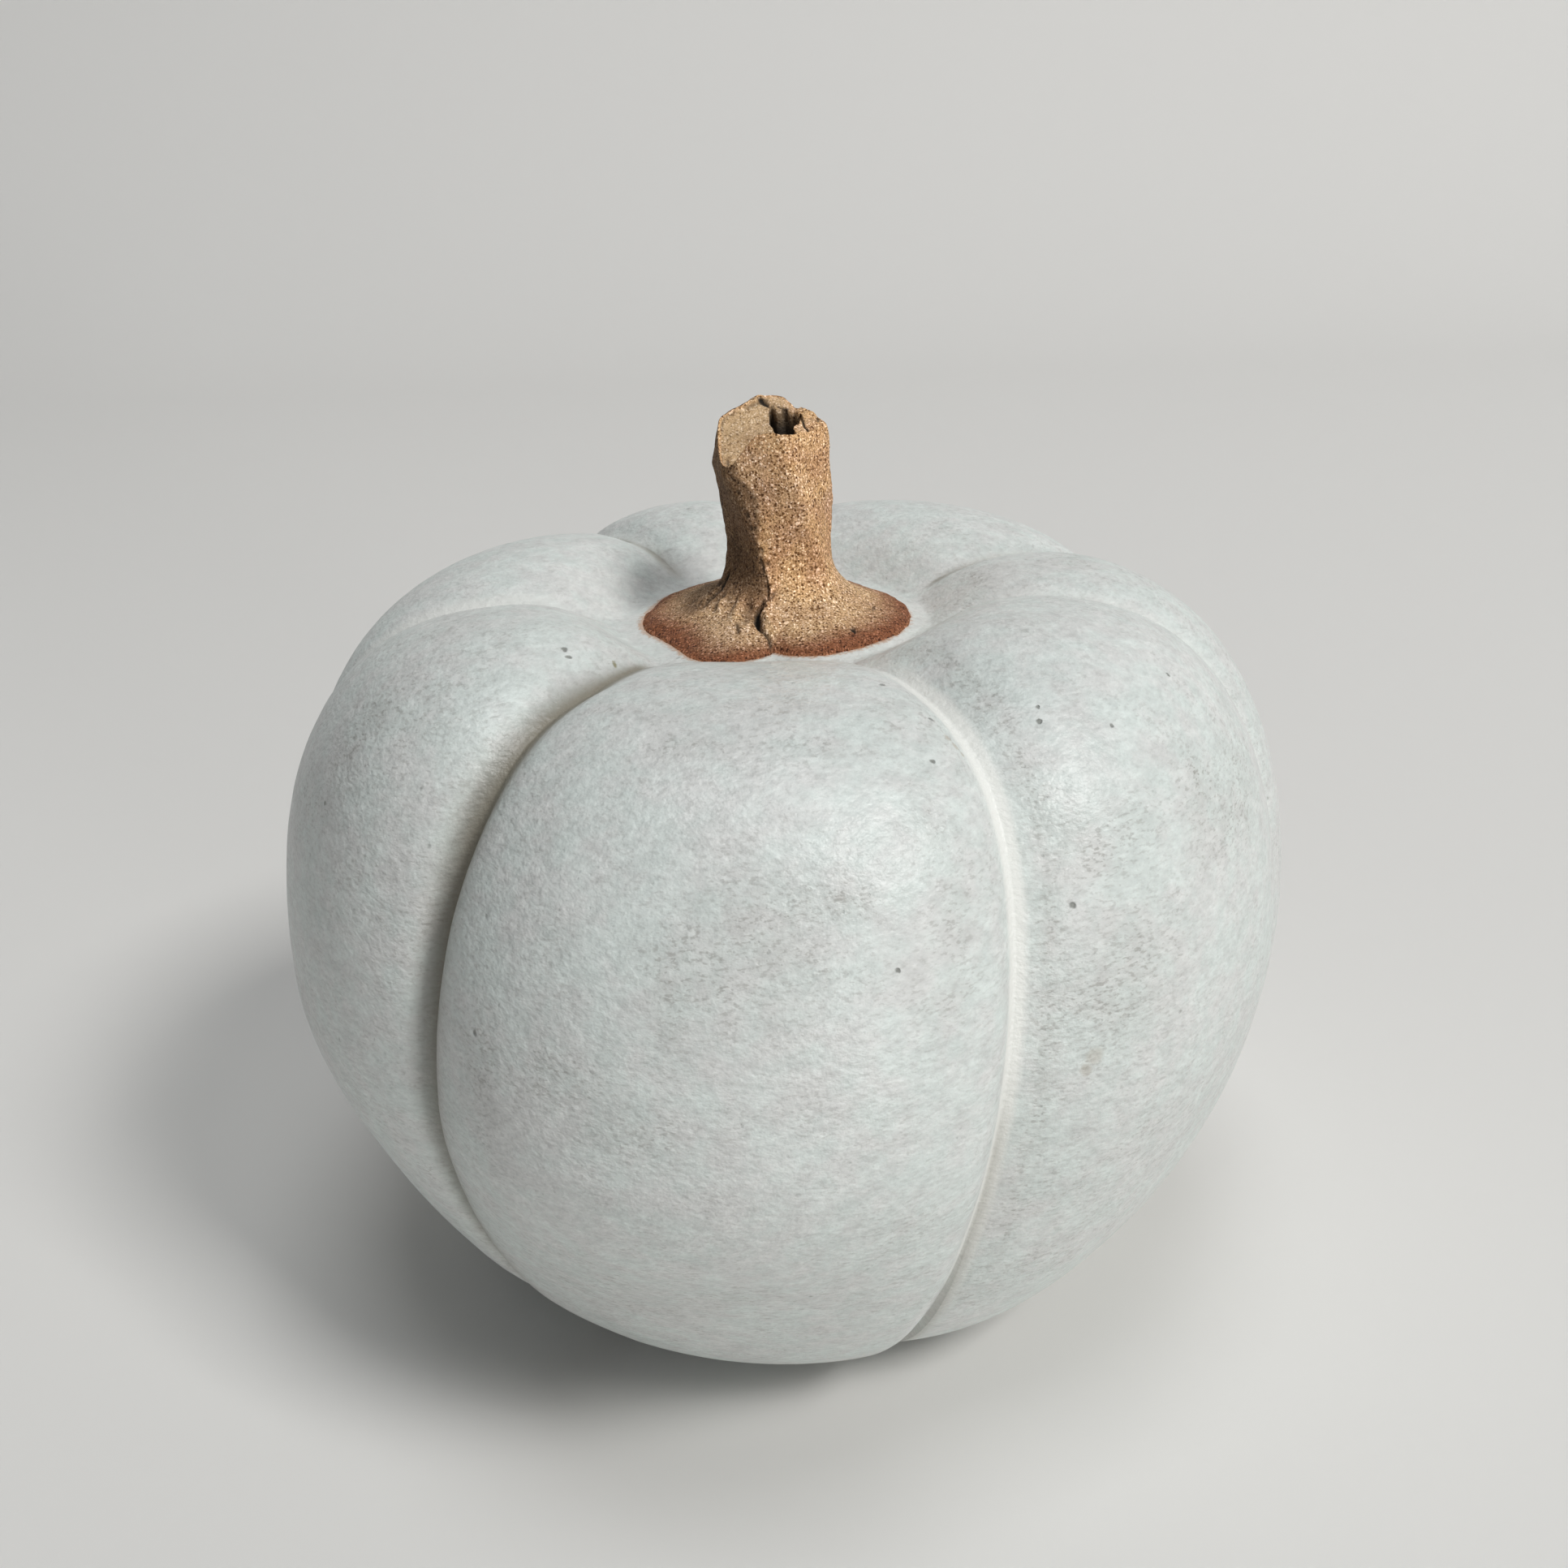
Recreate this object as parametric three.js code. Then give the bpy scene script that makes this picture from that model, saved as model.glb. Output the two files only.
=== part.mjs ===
// A handmade stoneware pumpkin: a hollow glazed body with seven lobes, and a rolled stem of
// bare clay with a flared foot, seated in the crown. Millimetres, +Z up. It stands on z = 0 and
// its front faces -Y. Azimuths are in degrees, from the front (-Y) towards the right (+X).
import * as THREE from 'three';

// Body outline through the middle of a lobe, as radius from the axis and height
const SEAT_RADIUS = 19.5;
const SEAT_HEIGHT = 91.5;
const SEAT_SLOPE = 28;
const CREST_RADIUS = 36;
const CREST_HEIGHT = 97.5;
const BELLY_RADIUS = 67.8;
const BELLY_HEIGHT = 54.5;
const FOOT_RADIUS = 29.5;
const FOOT_SLOPE = 10;

// How far the outline keeps its direction on each side of those places
const SEAT_REACH = 3.5;
const CREST_REACH_IN = 10;
const CREST_REACH_OUT = 24.6;
const BELLY_REACH_UP = 19.9;
const BELLY_REACH_DOWN = 18.7;
const FOOT_REACH = 26;

// The body's own axis, placed so that the whole part is centred over the origin
const AXIS = { x: -1.35, y: 2.15 };

// Seven pressed grooves. The lean is how far a groove has swung round by the crest. At the
// bottom of each lies a narrow crease, as deep as given on its left and on its right.
const GROOVES = [
  { azimuth: -39.5, lean: 3, depth: 6.4, creaseLeft: 1.1, creaseRight: 1.7 },
  { azimuth: 22, lean: 4.3, depth: 6.9, creaseLeft: 2.3, creaseRight: 0 },
  { azimuth: 73, lean: 7, depth: 4.7, creaseLeft: 2, creaseRight: 1.2 },
  { azimuth: 115, lean: 1, depth: 4.7, creaseLeft: 1.3, creaseRight: 1.3 },
  { azimuth: 179, lean: 0, depth: 5.2, creaseLeft: 1.3, creaseRight: 1.3 },
  { azimuth: 216, lean: 0, depth: 3.6, creaseLeft: 1.2, creaseRight: 1.2 },
  { azimuth: 271.5, lean: 3.5, depth: 4.4, creaseLeft: 1.2, creaseRight: 1.7 },
];
const CREASE_WIDTH = 0.08;
const LOBE_ROUNDING = 2.33;

// Each lobe follows the groove of the same place in the list, and swells out or in by hand
const LOBES = [
  { belly: 3.2, low: -5.4, high: -3.7 },
  { belly: -2.1, low: -1.3, high: 1.5 },
  { belly: 0.4, low: 1.5, high: -1 },
  { belly: 0, low: 1.5, high: 1 },
  { belly: 0, low: 1.5, high: 1 },
  { belly: -1.1, low: 1.5, high: 1.3 },
  { belly: -1.6, low: -2.2, high: 1.6 },
];

// The body is hollow, as a fired pot is, and breathes through a small vent in its underside
const WALL = 6;
const VENT_RADIUS = 1.5;

// The stem stands in the crown with a hair's gap under it. Its outline is radius and height
// above its own underside, from the lip of its foot to the top of its shaft.
const GAP = 0.3;
const STEM_OUTLINE = [
  [17.4, 0.5],
  [16.2, 1.4],
  [13.2, 2.3],
  [10, 3.5],
  [7.6, 5.2],
  [6.2, 7.4],
  [5.85, 10.2],
  [6.1, 13.6],
  [6.4, 17],
  [6.6, 20],
];
const STEM_SWAY = { reach: 1.35, height: 20.5, skew: 0.78 };
const STEM_FACETS = [-45, 20, 90, 160, 235];
const FACET_SHARPNESS = 12;
const FACET_TWIST = -36;
const FLARE_HEIGHT = 5;
const SHAFT_HEIGHT = 9;

// The reach of the flare's edge goes round from the front to the right, in equal steps
const FLARE_REACHES = [17, 18.5, 18.3, 17.5, 16.3, 15.2, 16.2, 17.1, 17.3, 17.3, 17, 17.1, 17.3, 17.4, 19.1];
const FLARE_NOTCH = { azimuth: -1, depth: 1.1, width: 5 };

// The top is cut on a slant and hollow, with a flap of clay lapped over its front. The heights
// of the rim above the underside go round from the front to the right, in equal steps.
const RIM_HEIGHTS = [25.3, 24.9, 24.8, 25, 26, 26.2, 27.5, 27, 25.5, 22.9, 21.3, 22.9];
const RIM_RADIUS = 6.4;
const RIM_WALL = 0.17;
const CUT_HEIGHT = 23.7;
const CUT_SLOPE = { x: 0.08, y: 0.55 };
const CUT_HOLLOW = 0.9;
const CUT_BELOW_RIM = 0.3;
const PIT = { x: 2.4, y: 0.4, depth: 4.5, share: 0.34 };

// How finely the surfaces are divided
const COLUMNS_PER_LOBE = 12;
const BODY_ROWS = { crown: 7, shoulder: 13, under: 12, inside: 14 };
const STEM_COLUMNS = 56;
const STEM_ROWS = 18;
const RIM_ROWS = 3;
const TOP_RINGS = [0.94, 0.82, 0.6, 0.4, 0.25, 0.12];

const { clamp, degToRad, euclideanModulo, lerp, smoothstep } = THREE.MathUtils;
const at = (radius, height) => new THREE.Vector2(radius, height);
const halfWave = (x) => Math.sin(clamp(x, 0, 1) * Math.PI / 2);
const steps = (from, to, count) => Array.from({ length: count }, (_, i) => lerp(from, to, i / count));

// A closed surface of rings between two end points. The rings run up its outside.
function closedSurface(first, rings, last) {
  const count = rings[0].length;
  const lastRing = rings.length - 1;
  const lastPoint = 1 + rings.length * count;
  const vertex = (ring, column) => 1 + ring * count + (column % count);
  const index = [];
  for (let column = 0; column < count; column += 1) {
    const next = column + 1;
    index.push(0, vertex(0, next), vertex(0, column));
    index.push(lastPoint, vertex(lastRing, column), vertex(lastRing, next));
    for (let ring = 0; ring < lastRing; ring += 1) {
      index.push(vertex(ring, column), vertex(ring, next), vertex(ring + 1, next));
      index.push(vertex(ring, column), vertex(ring + 1, next), vertex(ring + 1, column));
    }
  }
  const geometry = new THREE.BufferGeometry();
  const positions = [first, ...rings.flat(), last].flat();
  geometry.setAttribute('position', new THREE.Float32BufferAttribute(positions, 3));
  geometry.setIndex(index);
  geometry.computeVertexNormals();
  return geometry;
}

// Body

const bodyOutline = [
  new THREE.CubicBezierCurve(
    at(SEAT_RADIUS, SEAT_HEIGHT),
    at(SEAT_RADIUS + SEAT_REACH, SEAT_HEIGHT + SEAT_REACH * Math.tan(degToRad(SEAT_SLOPE))),
    at(CREST_RADIUS - CREST_REACH_IN, CREST_HEIGHT),
    at(CREST_RADIUS, CREST_HEIGHT),
  ),
  new THREE.CubicBezierCurve(
    at(CREST_RADIUS, CREST_HEIGHT),
    at(CREST_RADIUS + CREST_REACH_OUT, CREST_HEIGHT),
    at(BELLY_RADIUS, BELLY_HEIGHT + BELLY_REACH_UP),
    at(BELLY_RADIUS, BELLY_HEIGHT),
  ),
  new THREE.CubicBezierCurve(
    at(BELLY_RADIUS, BELLY_HEIGHT),
    at(BELLY_RADIUS, BELLY_HEIGHT - BELLY_REACH_DOWN),
    at(FOOT_RADIUS + FOOT_REACH, FOOT_REACH * Math.tan(degToRad(FOOT_SLOPE))),
    at(FOOT_RADIUS, 0),
  ),
];

// The way along the outline runs from 0 at the seat, by 1 at the crest and 2 at the belly, to 3
// at the foot. These are how strongly a groove, and a lobe's own swellings, show along it.
const grooveShare = (way) => halfWave(way / 2) * halfWave(3 - way);
const bellyShare = (way) => (halfWave(way / 1.9) * halfWave((3 - way) / 1.1)) ** 1.2;
const lowShare = (way) => (way > 2 ? Math.sin((way - 2) * Math.PI) ** 2 : 0);
const highShare = (way) => (way < 2 ? Math.sin(way / 2 * Math.PI) ** 2 : 0);

const grooveAzimuth = ({ azimuth, lean }, way) => azimuth + lean * Math.cos((way - 1) * Math.PI / 2);

// Across a lobe, side runs from -1 at its own groove to 1 at the next
function bodyPoint(lobe, side, way, inset) {
  const next = (lobe + 1) % GROOVES.length;
  const from = grooveAzimuth(GROOVES[lobe], way);
  const to = grooveAzimuth(GROOVES[next], way) + (next === 0 ? 360 : 0);
  const azimuth = degToRad(lerp(from, to, (side + 1) / 2));

  const nearness = Math.abs(side);
  const groove = GROOVES[side < 0 ? lobe : next];
  const crease = side < 0 ? groove.creaseRight : groove.creaseLeft;
  const valley = (groove.depth - crease) * nearness ** LOBE_ROUNDING;
  const bottom = crease * Math.exp(-(((1 - nearness) / CREASE_WIDTH) ** 2));
  const { belly, low, high } = LOBES[lobe];
  const swell = belly * bellyShare(way) + low * lowShare(way) + high * highShare(way);
  const rise = swell * (1 - nearness ** 2) - grooveShare(way) * (valley + bottom) - inset;

  const arc = Math.min(Math.floor(way), 2);
  const { x: radius, y: height } = bodyOutline[arc].getPoint(way - arc);
  const along = bodyOutline[arc].getTangent(way - arc);
  const reach = radius - along.y * rise;
  return [
    AXIS.x + reach * Math.sin(azimuth),
    AXIS.y - reach * Math.cos(azimuth),
    height + along.x * rise,
  ];
}

function bodyGeometry() {
  // Columns crowd towards the grooves, where the surface turns fastest
  const columns = GROOVES.flatMap((_, lobe) => steps(-1, 1, COLUMNS_PER_LOBE)
    .map((x) => ({ lobe, side: lerp(x, Math.sin(x * Math.PI / 2), 0.6) })));
  const ring = (way, inset) => columns.map(({ lobe, side }) => bodyPoint(lobe, side, way, inset));
  const inner = [...steps(0, 3, BODY_ROWS.inside), 3].map((way) => ring(way, WALL));
  const outer = [
    3,
    ...steps(3, 2, BODY_ROWS.under).slice(1),
    ...steps(2, 1, BODY_ROWS.shoulder),
    ...steps(1, 0, BODY_ROWS.crown),
    0,
  ].map((way) => ring(way, 0));

  const shrink = VENT_RADIUS / FOOT_RADIUS;
  const ventRing = (height) => outer[0]
    .map(([x, y]) => [lerp(AXIS.x, x, shrink), lerp(AXIS.y, y, shrink), height]);
  const ceiling = inner[0][0][2];
  const floor = inner[inner.length - 1][0][2];
  return closedSurface(
    [AXIS.x, AXIS.y, ceiling],
    [...inner, ventRing(floor), ventRing(0), ...outer],
    [AXIS.x, AXIS.y, SEAT_HEIGHT],
  );
}

// Stem

const stemOutline = new THREE.SplineCurve(STEM_OUTLINE.map(([radius, height]) => at(radius, height)));

// A closed curve through values that stand evenly round the axis, the first in front
function around(values, azimuth) {
  const count = values.length;
  const place = euclideanModulo(azimuth, 360) / 360 * count;
  const step = Math.floor(place);
  return lerp(values[step], values[(step + 1) % count], smoothstep(place - step, 0, 1));
}

// The shaft is pressed into flats, which twist round it as they climb
function flatness(azimuth, height) {
  const twist = FACET_TWIST * smoothstep(height, 0, CUT_HEIGHT);
  const sum = STEM_FACETS.reduce((total, facet) => {
    const facing = Math.cos(degToRad(azimuth - facet - twist));
    return total + Math.max(facing, 0) ** FACET_SHARPNESS;
  }, 0);
  return lerp(1, sum ** (-1 / FACET_SHARPNESS), smoothstep(height, FLARE_HEIGHT / 2, SHAFT_HEIGHT));
}

// The edge of the flare is thumbed down unevenly, and nicked where its seam meets the front
function flareSpread(azimuth, height) {
  const away = euclideanModulo(azimuth - FLARE_NOTCH.azimuth + 180, 360) - 180;
  const notch = FLARE_NOTCH.depth * Math.exp(-((away / FLARE_NOTCH.width) ** 2));
  const spread = around(FLARE_REACHES, azimuth) - STEM_OUTLINE[0][0] - notch;
  return (1 - smoothstep(height, 0, FLARE_HEIGHT)) * spread;
}

function stemPoint(azimuth, radius, height) {
  const reach = radius * flatness(azimuth, height) + flareSpread(azimuth, height);
  const climb = clamp(height / STEM_SWAY.height, 0, 1) ** STEM_SWAY.skew;
  const sway = STEM_SWAY.reach * Math.sin(climb * Math.PI);
  return [
    sway + reach * Math.sin(degToRad(azimuth)),
    -reach * Math.cos(degToRad(azimuth)),
    height,
  ];
}

// Inside the rim, share runs from 1 at the rim to 0 at the bottom of the pit
function cutPoint(azimuth, share) {
  const rim = stemPoint(azimuth, RIM_RADIUS, around(RIM_HEIGHTS, azimuth));
  const x = lerp(PIT.x, rim[0], share);
  const y = lerp(PIT.y, rim[1], share);
  const slanted = CUT_HEIGHT + CUT_SLOPE.x * x + CUT_SLOPE.y * y - CUT_HOLLOW * (1 - share ** 2);
  const face = Math.min(slanted, rim[2] - CUT_BELOW_RIM);
  const pit = PIT.depth * (1 - smoothstep(share, 0, PIT.share));
  return [x, y, lerp(rim[2], face, smoothstep(1 - share, 0, RIM_WALL)) - pit];
}

function stemGeometry() {
  const azimuths = steps(0, 360, STEM_COLUMNS);
  const ring = (radius, height) => azimuths.map((azimuth) => stemPoint(azimuth, radius, height));
  const shaft = stemOutline.getPoints(STEM_ROWS).map(({ x, y }) => ring(x, y));
  const [shaftRadius, shaftHeight] = STEM_OUTLINE[STEM_OUTLINE.length - 1];
  const rim = steps(1, 0, RIM_ROWS).reverse().map((share) => azimuths.map((azimuth) => stemPoint(
    azimuth,
    lerp(shaftRadius, RIM_RADIUS, share),
    lerp(shaftHeight, around(RIM_HEIGHTS, azimuth), share),
  )));
  const top = TOP_RINGS.map((share) => azimuths.map((azimuth) => cutPoint(azimuth, share)));
  const [lipRadius, lipHeight] = STEM_OUTLINE[0];
  const underside = ring(lipRadius - lipHeight, 0);
  return closedSurface([0, 0, 0], [underside, ...shaft, ...rim, ...top], cutPoint(0, 0));
}

// Assembly

const glaze = new THREE.MeshStandardMaterial({ color: '#d2d4cf', roughness: 0.4, metalness: 0 });
const clay = new THREE.MeshStandardMaterial({ color: '#a57a4c', roughness: 0.95, metalness: 0 });

const body = new THREE.Mesh(bodyGeometry(), glaze);
body.name = 'body';

const stem = new THREE.Mesh(stemGeometry(), clay);
stem.name = 'stem';
stem.position.set(AXIS.x, AXIS.y, SEAT_HEIGHT + GAP);

const pumpkin = new THREE.Group();
pumpkin.add(body, stem);

export default pumpkin;
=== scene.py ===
# Looks of a handmade stoneware pumpkin: a hollow body with seven lobes under a pale satin glaze,
# and a rolled stem of bare brown clay. Shapes are worked out in millimetres, +Z up, front at -Y,
# and turned into Blender's metres when a mesh is made. Azimuths run from the front to the right.
import math

import bpy
import numpy as np
from mathutils import Matrix, Vector


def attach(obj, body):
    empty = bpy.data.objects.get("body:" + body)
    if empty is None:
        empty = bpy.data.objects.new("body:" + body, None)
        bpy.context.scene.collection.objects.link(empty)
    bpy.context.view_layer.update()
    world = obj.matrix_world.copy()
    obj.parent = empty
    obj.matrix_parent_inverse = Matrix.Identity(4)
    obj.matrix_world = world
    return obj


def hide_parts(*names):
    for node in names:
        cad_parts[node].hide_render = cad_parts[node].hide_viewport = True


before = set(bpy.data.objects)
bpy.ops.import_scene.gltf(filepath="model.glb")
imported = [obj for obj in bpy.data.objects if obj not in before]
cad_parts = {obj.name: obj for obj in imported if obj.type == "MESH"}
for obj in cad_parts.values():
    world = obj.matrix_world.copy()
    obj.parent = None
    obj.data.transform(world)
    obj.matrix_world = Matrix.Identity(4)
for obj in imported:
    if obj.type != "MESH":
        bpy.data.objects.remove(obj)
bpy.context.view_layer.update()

MM = 0.001

# A distance that is further than any mark on a surface reaches
FAR = 50

# The camera that took the photograph, in its own 1932 x 1932 frame
FRAME_PX = 1932
FOCAL_PX = 2000
SENSOR_MM = 36
CAMERA_PLACE = (-1.05, -200.65, 155.5)
CAMERA_PITCH_DOWN = 23.28
CAMERA_YAW = 0.06
CAMERA_ROLL = 1.93

# Body outline through the middle of a lobe, as radius from the axis and height
SEAT = (19.5, 91.5)
SEAT_SLOPE = 28
CREST = (36, 97.5)
BELLY = (67.8, 54.5)
FOOT = (29.5, 0)
FOOT_SLOPE = 10
SEAT_REACH = 3.5
CREST_REACH_IN = 10
CREST_REACH_OUT = 24.6
BELLY_REACH_UP = 19.9
BELLY_REACH_DOWN = 18.7
FOOT_REACH = 26
AXIS = (-1.35, 2.15)
WALL = 6
VENT_RADIUS = 1.5

# Seven pressed grooves: azimuth, lean towards the crest and depth, then the depth and width of the
# crease at the bottom of each, on its left and on its right. Each lobe follows the groove of the
# same place, and swells at its belly, below it and above it.
AZIMUTH, LEAN, DEPTH, LEFT_CREASE, LEFT_WIDTH, RIGHT_CREASE, RIGHT_WIDTH = range(7)
GROOVES = np.array([
    (-39.5, 3, 7.2, 1.9, 2.4, 2.5, 1.6),
    (22, 4.3, 6.9, 2.3, 2.6, 0, 2),
    (73, 7, 4.7, 2.0, 1.5, 1.2, 2.2),
    (115, 1, 4.7, 1.3, 2.2, 1.3, 2.2),
    (179, 0, 5.2, 1.3, 2.2, 1.3, 2.2),
    (216, 0, 3.6, 1.2, 2.2, 1.2, 2.2),
    (271.5, 3.5, 4.4, 1.2, 2.4, 1.7, 2.0),
])
LOBES = np.array([
    (3.2, -5.4, -3.7),
    (-2.1, -1.3, 1.5),
    (0.4, 1.5, -1),
    (0, 1.5, 1),
    (0, 1.5, 1),
    (-1.1, 1.5, 1.3),
    (-1.6, -2.2, 1.6),
])
LOBE_ROUNDING = 2.33

# On the crown the crease of the first groove is wider on its right, and narrows down the shoulder
FIRST_CREASE_WIDENING = 2.2
FIRST_CREASE_NARROWS = (1.1, 1.9)

# Ways down the outline, and over how much of it a lobe's swelling and a crease rise from its ends
AT_SEAT, AT_CREST, AT_BELLY, AT_FOOT = range(4)
SWELL_FROM_SEAT = 1.9
SWELL_FROM_FOOT = 1.1
SWELL_POWER = 1.2
CREASE_FROM_FOOT = 0.5

# The stem stands on a seat in the crown. Its outline is radius and height above its underside.
STEM_BASE = 91.8
STEM_OUTLINE = np.array([
    (17.4, 0.5),
    (16.2, 1.4),
    (13.2, 2.3),
    (10, 3.5),
    (7.6, 5.2),
    (6.2, 7.4),
    (5.85, 10.2),
    (6.1, 13.6),
    (6.4, 17),
    (6.6, 20),
])
STEM_SWAY = 1.35
STEM_SWAY_HEIGHT = 20.5
STEM_SWAY_SKEW = 0.78
STEM_FACETS = (-45, 20, 90, 160, 235)
FACET_SHARPNESS = 12
FACET_TWIST = -36
FLARE_HEIGHT = 5
SHAFT_HEIGHT = 9

# Reach of the flare's edge every 10 degrees from the front to the right, and the crack's notch in it
FLARE_REACHES = np.array([
    17.0, 17.8, 18.5, 18.5, 18.4, 18.3, 18.2, 17.9, 17.5, 17.1, 16.5, 15.9,
    15.2, 15.2, 15.6, 16.2, 16.8, 17.1, 17.1, 17.2, 17.3, 17.4, 17.4, 17.4,
    17.3, 16.9, 16.9, 17.2, 17.4, 17.4, 17.1, 17.4, 18.5, 20.1, 20.9, 18.9,
])
NOTCH_AZIMUTH = -1
NOTCH_DEPTH = 1.1
NOTCH_WIDTH = 4

# Height of the top's rim every 15 degrees. The front wall laps over a slanted cut face on the left,
# the right side is rolled in to a round shoulder, and a deep slot lies between the two.
RIM_HEIGHTS = np.array([
    25.3, 25.1, 24.9, 24.8, 24.8, 24.8, 25.0, 25.5, 26.0, 26.2, 26.1, 27.1,
    27.6, 27.5, 27.0, 26.3, 25.5, 24.4, 22.9, 22.0, 21.4, 21.2, 22.9, 24.8,
])
RIM_RADII = np.array([6.4, 6.4, 6.5, 6.7, 6.7, 6.6, 6.2, 5.8, 5.7, 6.2, 6.5, 6.4])
ROLLED_SIDE = (15, 42, 146, 166)
ROLLED_INSET = 0.6
CUT_HEIGHT = 23.7
CUT_SLOPE = (0.08, 0.55)
CUT_HOLLOW = 0.5
CUT_BELOW_RIM = 0.3
CUT_ROUNDING = 0.75
LAP_SIDE = (-74, -64, -14, -4)
LAP_HEIGHT = 0.75
LAP_ROUNDING = 0.35
LAP_FADE = (1.2, 3)
RIM_EDGE = 0.1
RIM_RAGGED = 0.1
SHOULDER_HEIGHT = 25.4
SHOULDER_SLOPE = 0.1
SHOULDER_ROUNDING = 2.4
SHOULDER_SIDE = (0, 12, 148, 188)
SLOT_CENTRE = (2.3, 1.0)
SLOT_ANGLES = (-163, -158, -139, -111, -58, -16, -5, 0, 17, 58, 135, 167)
SLOT_REACHES = (4.1, 5.1, 3.3, 1.8, 1.0, 2.6, 5.0, 5.9, 3.1, 1.9, 2.5, 3.2)
SLOT_DEPTH = 4.5
SLOT_RAGGED = 0.06
SLOT_TAPER = 0.15
LEAST_LIP = 0.7


# Small mathematics

def smoothstep(x, low, high):
    share = np.clip((x - low) / (high - low), 0, 1)
    return share * share * (3 - 2 * share)


def lerp(a, b, share):
    return a + (b - a) * share


def share_between(x, start, full, fading, end):
    """A share that rises to 1 from start to full and falls to 0 from fading to end."""
    return smoothstep(x, start, full) * (1 - smoothstep(x, fading, end))


def half_wave(x):
    return np.sin(np.clip(x, 0, 1) * np.pi / 2)


def hump(x, width):
    return np.exp(-((x / width) ** 2))


def cell_value(cells, seed):
    """A random value from 0 to 1 for each whole-number cell, scattered by large primes."""
    cells = cells.astype(np.int64)
    code = cells[..., 0] * 73856093 ^ cells[..., 1] * 19349663 ^ cells[..., 2] * 83492791
    code = (code ^ seed * 2654435761) & 0xFFFFFFFF
    code = ((code ^ (code >> 15)) * 2246822519) & 0xFFFFFFFF
    code = ((code ^ (code >> 13)) * 3266489917) & 0xFFFFFFFF
    return ((code ^ (code >> 16)) & 0xFFFFFF) / 0xFFFFFF


def soft_noise(points, size, seed):
    """Smooth noise from -1 to 1 with lumps of about the given size."""
    scaled = points / size
    corner = np.floor(scaled)
    within = scaled - corner
    within = within * within * (3 - 2 * within)
    total = 0
    for step in np.ndindex(2, 2, 2):
        weight = np.prod(np.where(step, within, 1 - within), axis=-1)
        total = total + weight * cell_value(corner + step, seed)
    return total * 2 - 1


def layered_noise(points, size, seed, layers=3):
    total = 0
    for layer in range(layers):
        total = total + soft_noise(points, size / 2**layer, seed + layer) / 2**layer
    return total


def line_distance(points, line):
    """Distance from each point to a line of straight steps, and how far along the line that is."""
    nearest = np.full(points.shape[:-1], np.inf)
    along = np.zeros(points.shape[:-1])
    for step, (start, end) in enumerate(zip(line[:-1], line[1:])):
        way = end - start
        share = np.clip(((points - start) @ way) / (way @ way), 0, 1)
        distance = np.linalg.norm(points - start - share[..., None] * way, axis=-1)
        closer = distance < nearest
        nearest = np.where(closer, distance, nearest)
        along = np.where(closer, step + share, along)
    return nearest, along / (len(line) - 1)


def surface_normals(grid):
    """Outward normals of a surface given as rings that climb and columns that run to the right."""
    across = np.roll(grid, -1, axis=1) - np.roll(grid, 1, axis=1)
    up = np.gradient(grid, axis=0)
    normal = np.cross(across, up)
    return normal / np.maximum(np.linalg.norm(normal, axis=-1, keepdims=True), 1e-9)


# Meshes

def rings_before(count, fill, values):
    """Values for rings, with one value filled in for the rings that come before them."""
    return np.concatenate([np.full((count, values.shape[1]), fill), values])


def closed_mesh(name, first, rings, last, attributes):
    """A closed surface of rings between two end points. The rings run up its outside."""
    count = rings.shape[1]
    vertices = np.concatenate([[first], rings.reshape(-1, 3), [last]]) * MM
    column = np.arange(count)
    following = (column + 1) % count
    start = 1 + np.arange(len(rings) - 1)[:, None] * count
    quads = np.stack([
        start + column,
        start + following,
        start + following + count,
        start + column + count,
    ], -1).reshape(-1, 4)
    end = len(vertices) - 1
    bottom = [(0, 1 + b, 1 + a) for a, b in zip(column.tolist(), following.tolist())]
    top = [(end, end - count + a, end - count + b) for a, b in zip(column.tolist(), following.tolist())]
    mesh = bpy.data.meshes.new(name)
    mesh.from_pydata(vertices.tolist(), [], quads.tolist() + bottom + top)
    mesh.shade_smooth()
    for key, values in attributes.items():
        padded = np.concatenate([[0], np.ravel(values), [0]]).astype(np.float32)
        mesh.attributes.new(key, "FLOAT", "POINT").data.foreach_set("value", padded)
    piece = bpy.data.objects.new(name, mesh)
    bpy.context.scene.collection.objects.link(piece)
    return piece


# Body

def body_arcs():
    (seat_r, seat_z), (crest_r, crest_z) = SEAT, CREST
    (belly_r, belly_z), (foot_r, foot_z) = BELLY, FOOT
    seat_rise = SEAT_REACH * math.tan(math.radians(SEAT_SLOPE))
    foot_rise = FOOT_REACH * math.tan(math.radians(FOOT_SLOPE))
    return np.array([
        (SEAT, (seat_r + SEAT_REACH, seat_z + seat_rise), (crest_r - CREST_REACH_IN, crest_z), CREST),
        (CREST, (crest_r + CREST_REACH_OUT, crest_z), (belly_r, belly_z + BELLY_REACH_UP), BELLY),
        (BELLY, (belly_r, belly_z - BELLY_REACH_DOWN), (foot_r + FOOT_REACH, foot_z + foot_rise), FOOT),
    ])


BODY_ARCS = body_arcs()


def body_outline(way):
    """Place and direction at a way down the outline."""
    arc = np.minimum(np.floor(way), AT_BELLY).astype(int)
    share = (way - arc)[..., None]
    rest = 1 - share
    a, b, c, d = (BODY_ARCS[arc, corner] for corner in range(4))
    place = rest**3 * a + 3 * rest**2 * share * b + 3 * rest * share**2 * c + share**3 * d
    along = rest**2 * (b - a) + 2 * rest * share * (c - b) + share**2 * (d - c)
    return place, along / np.linalg.norm(along, axis=-1, keepdims=True)


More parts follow.
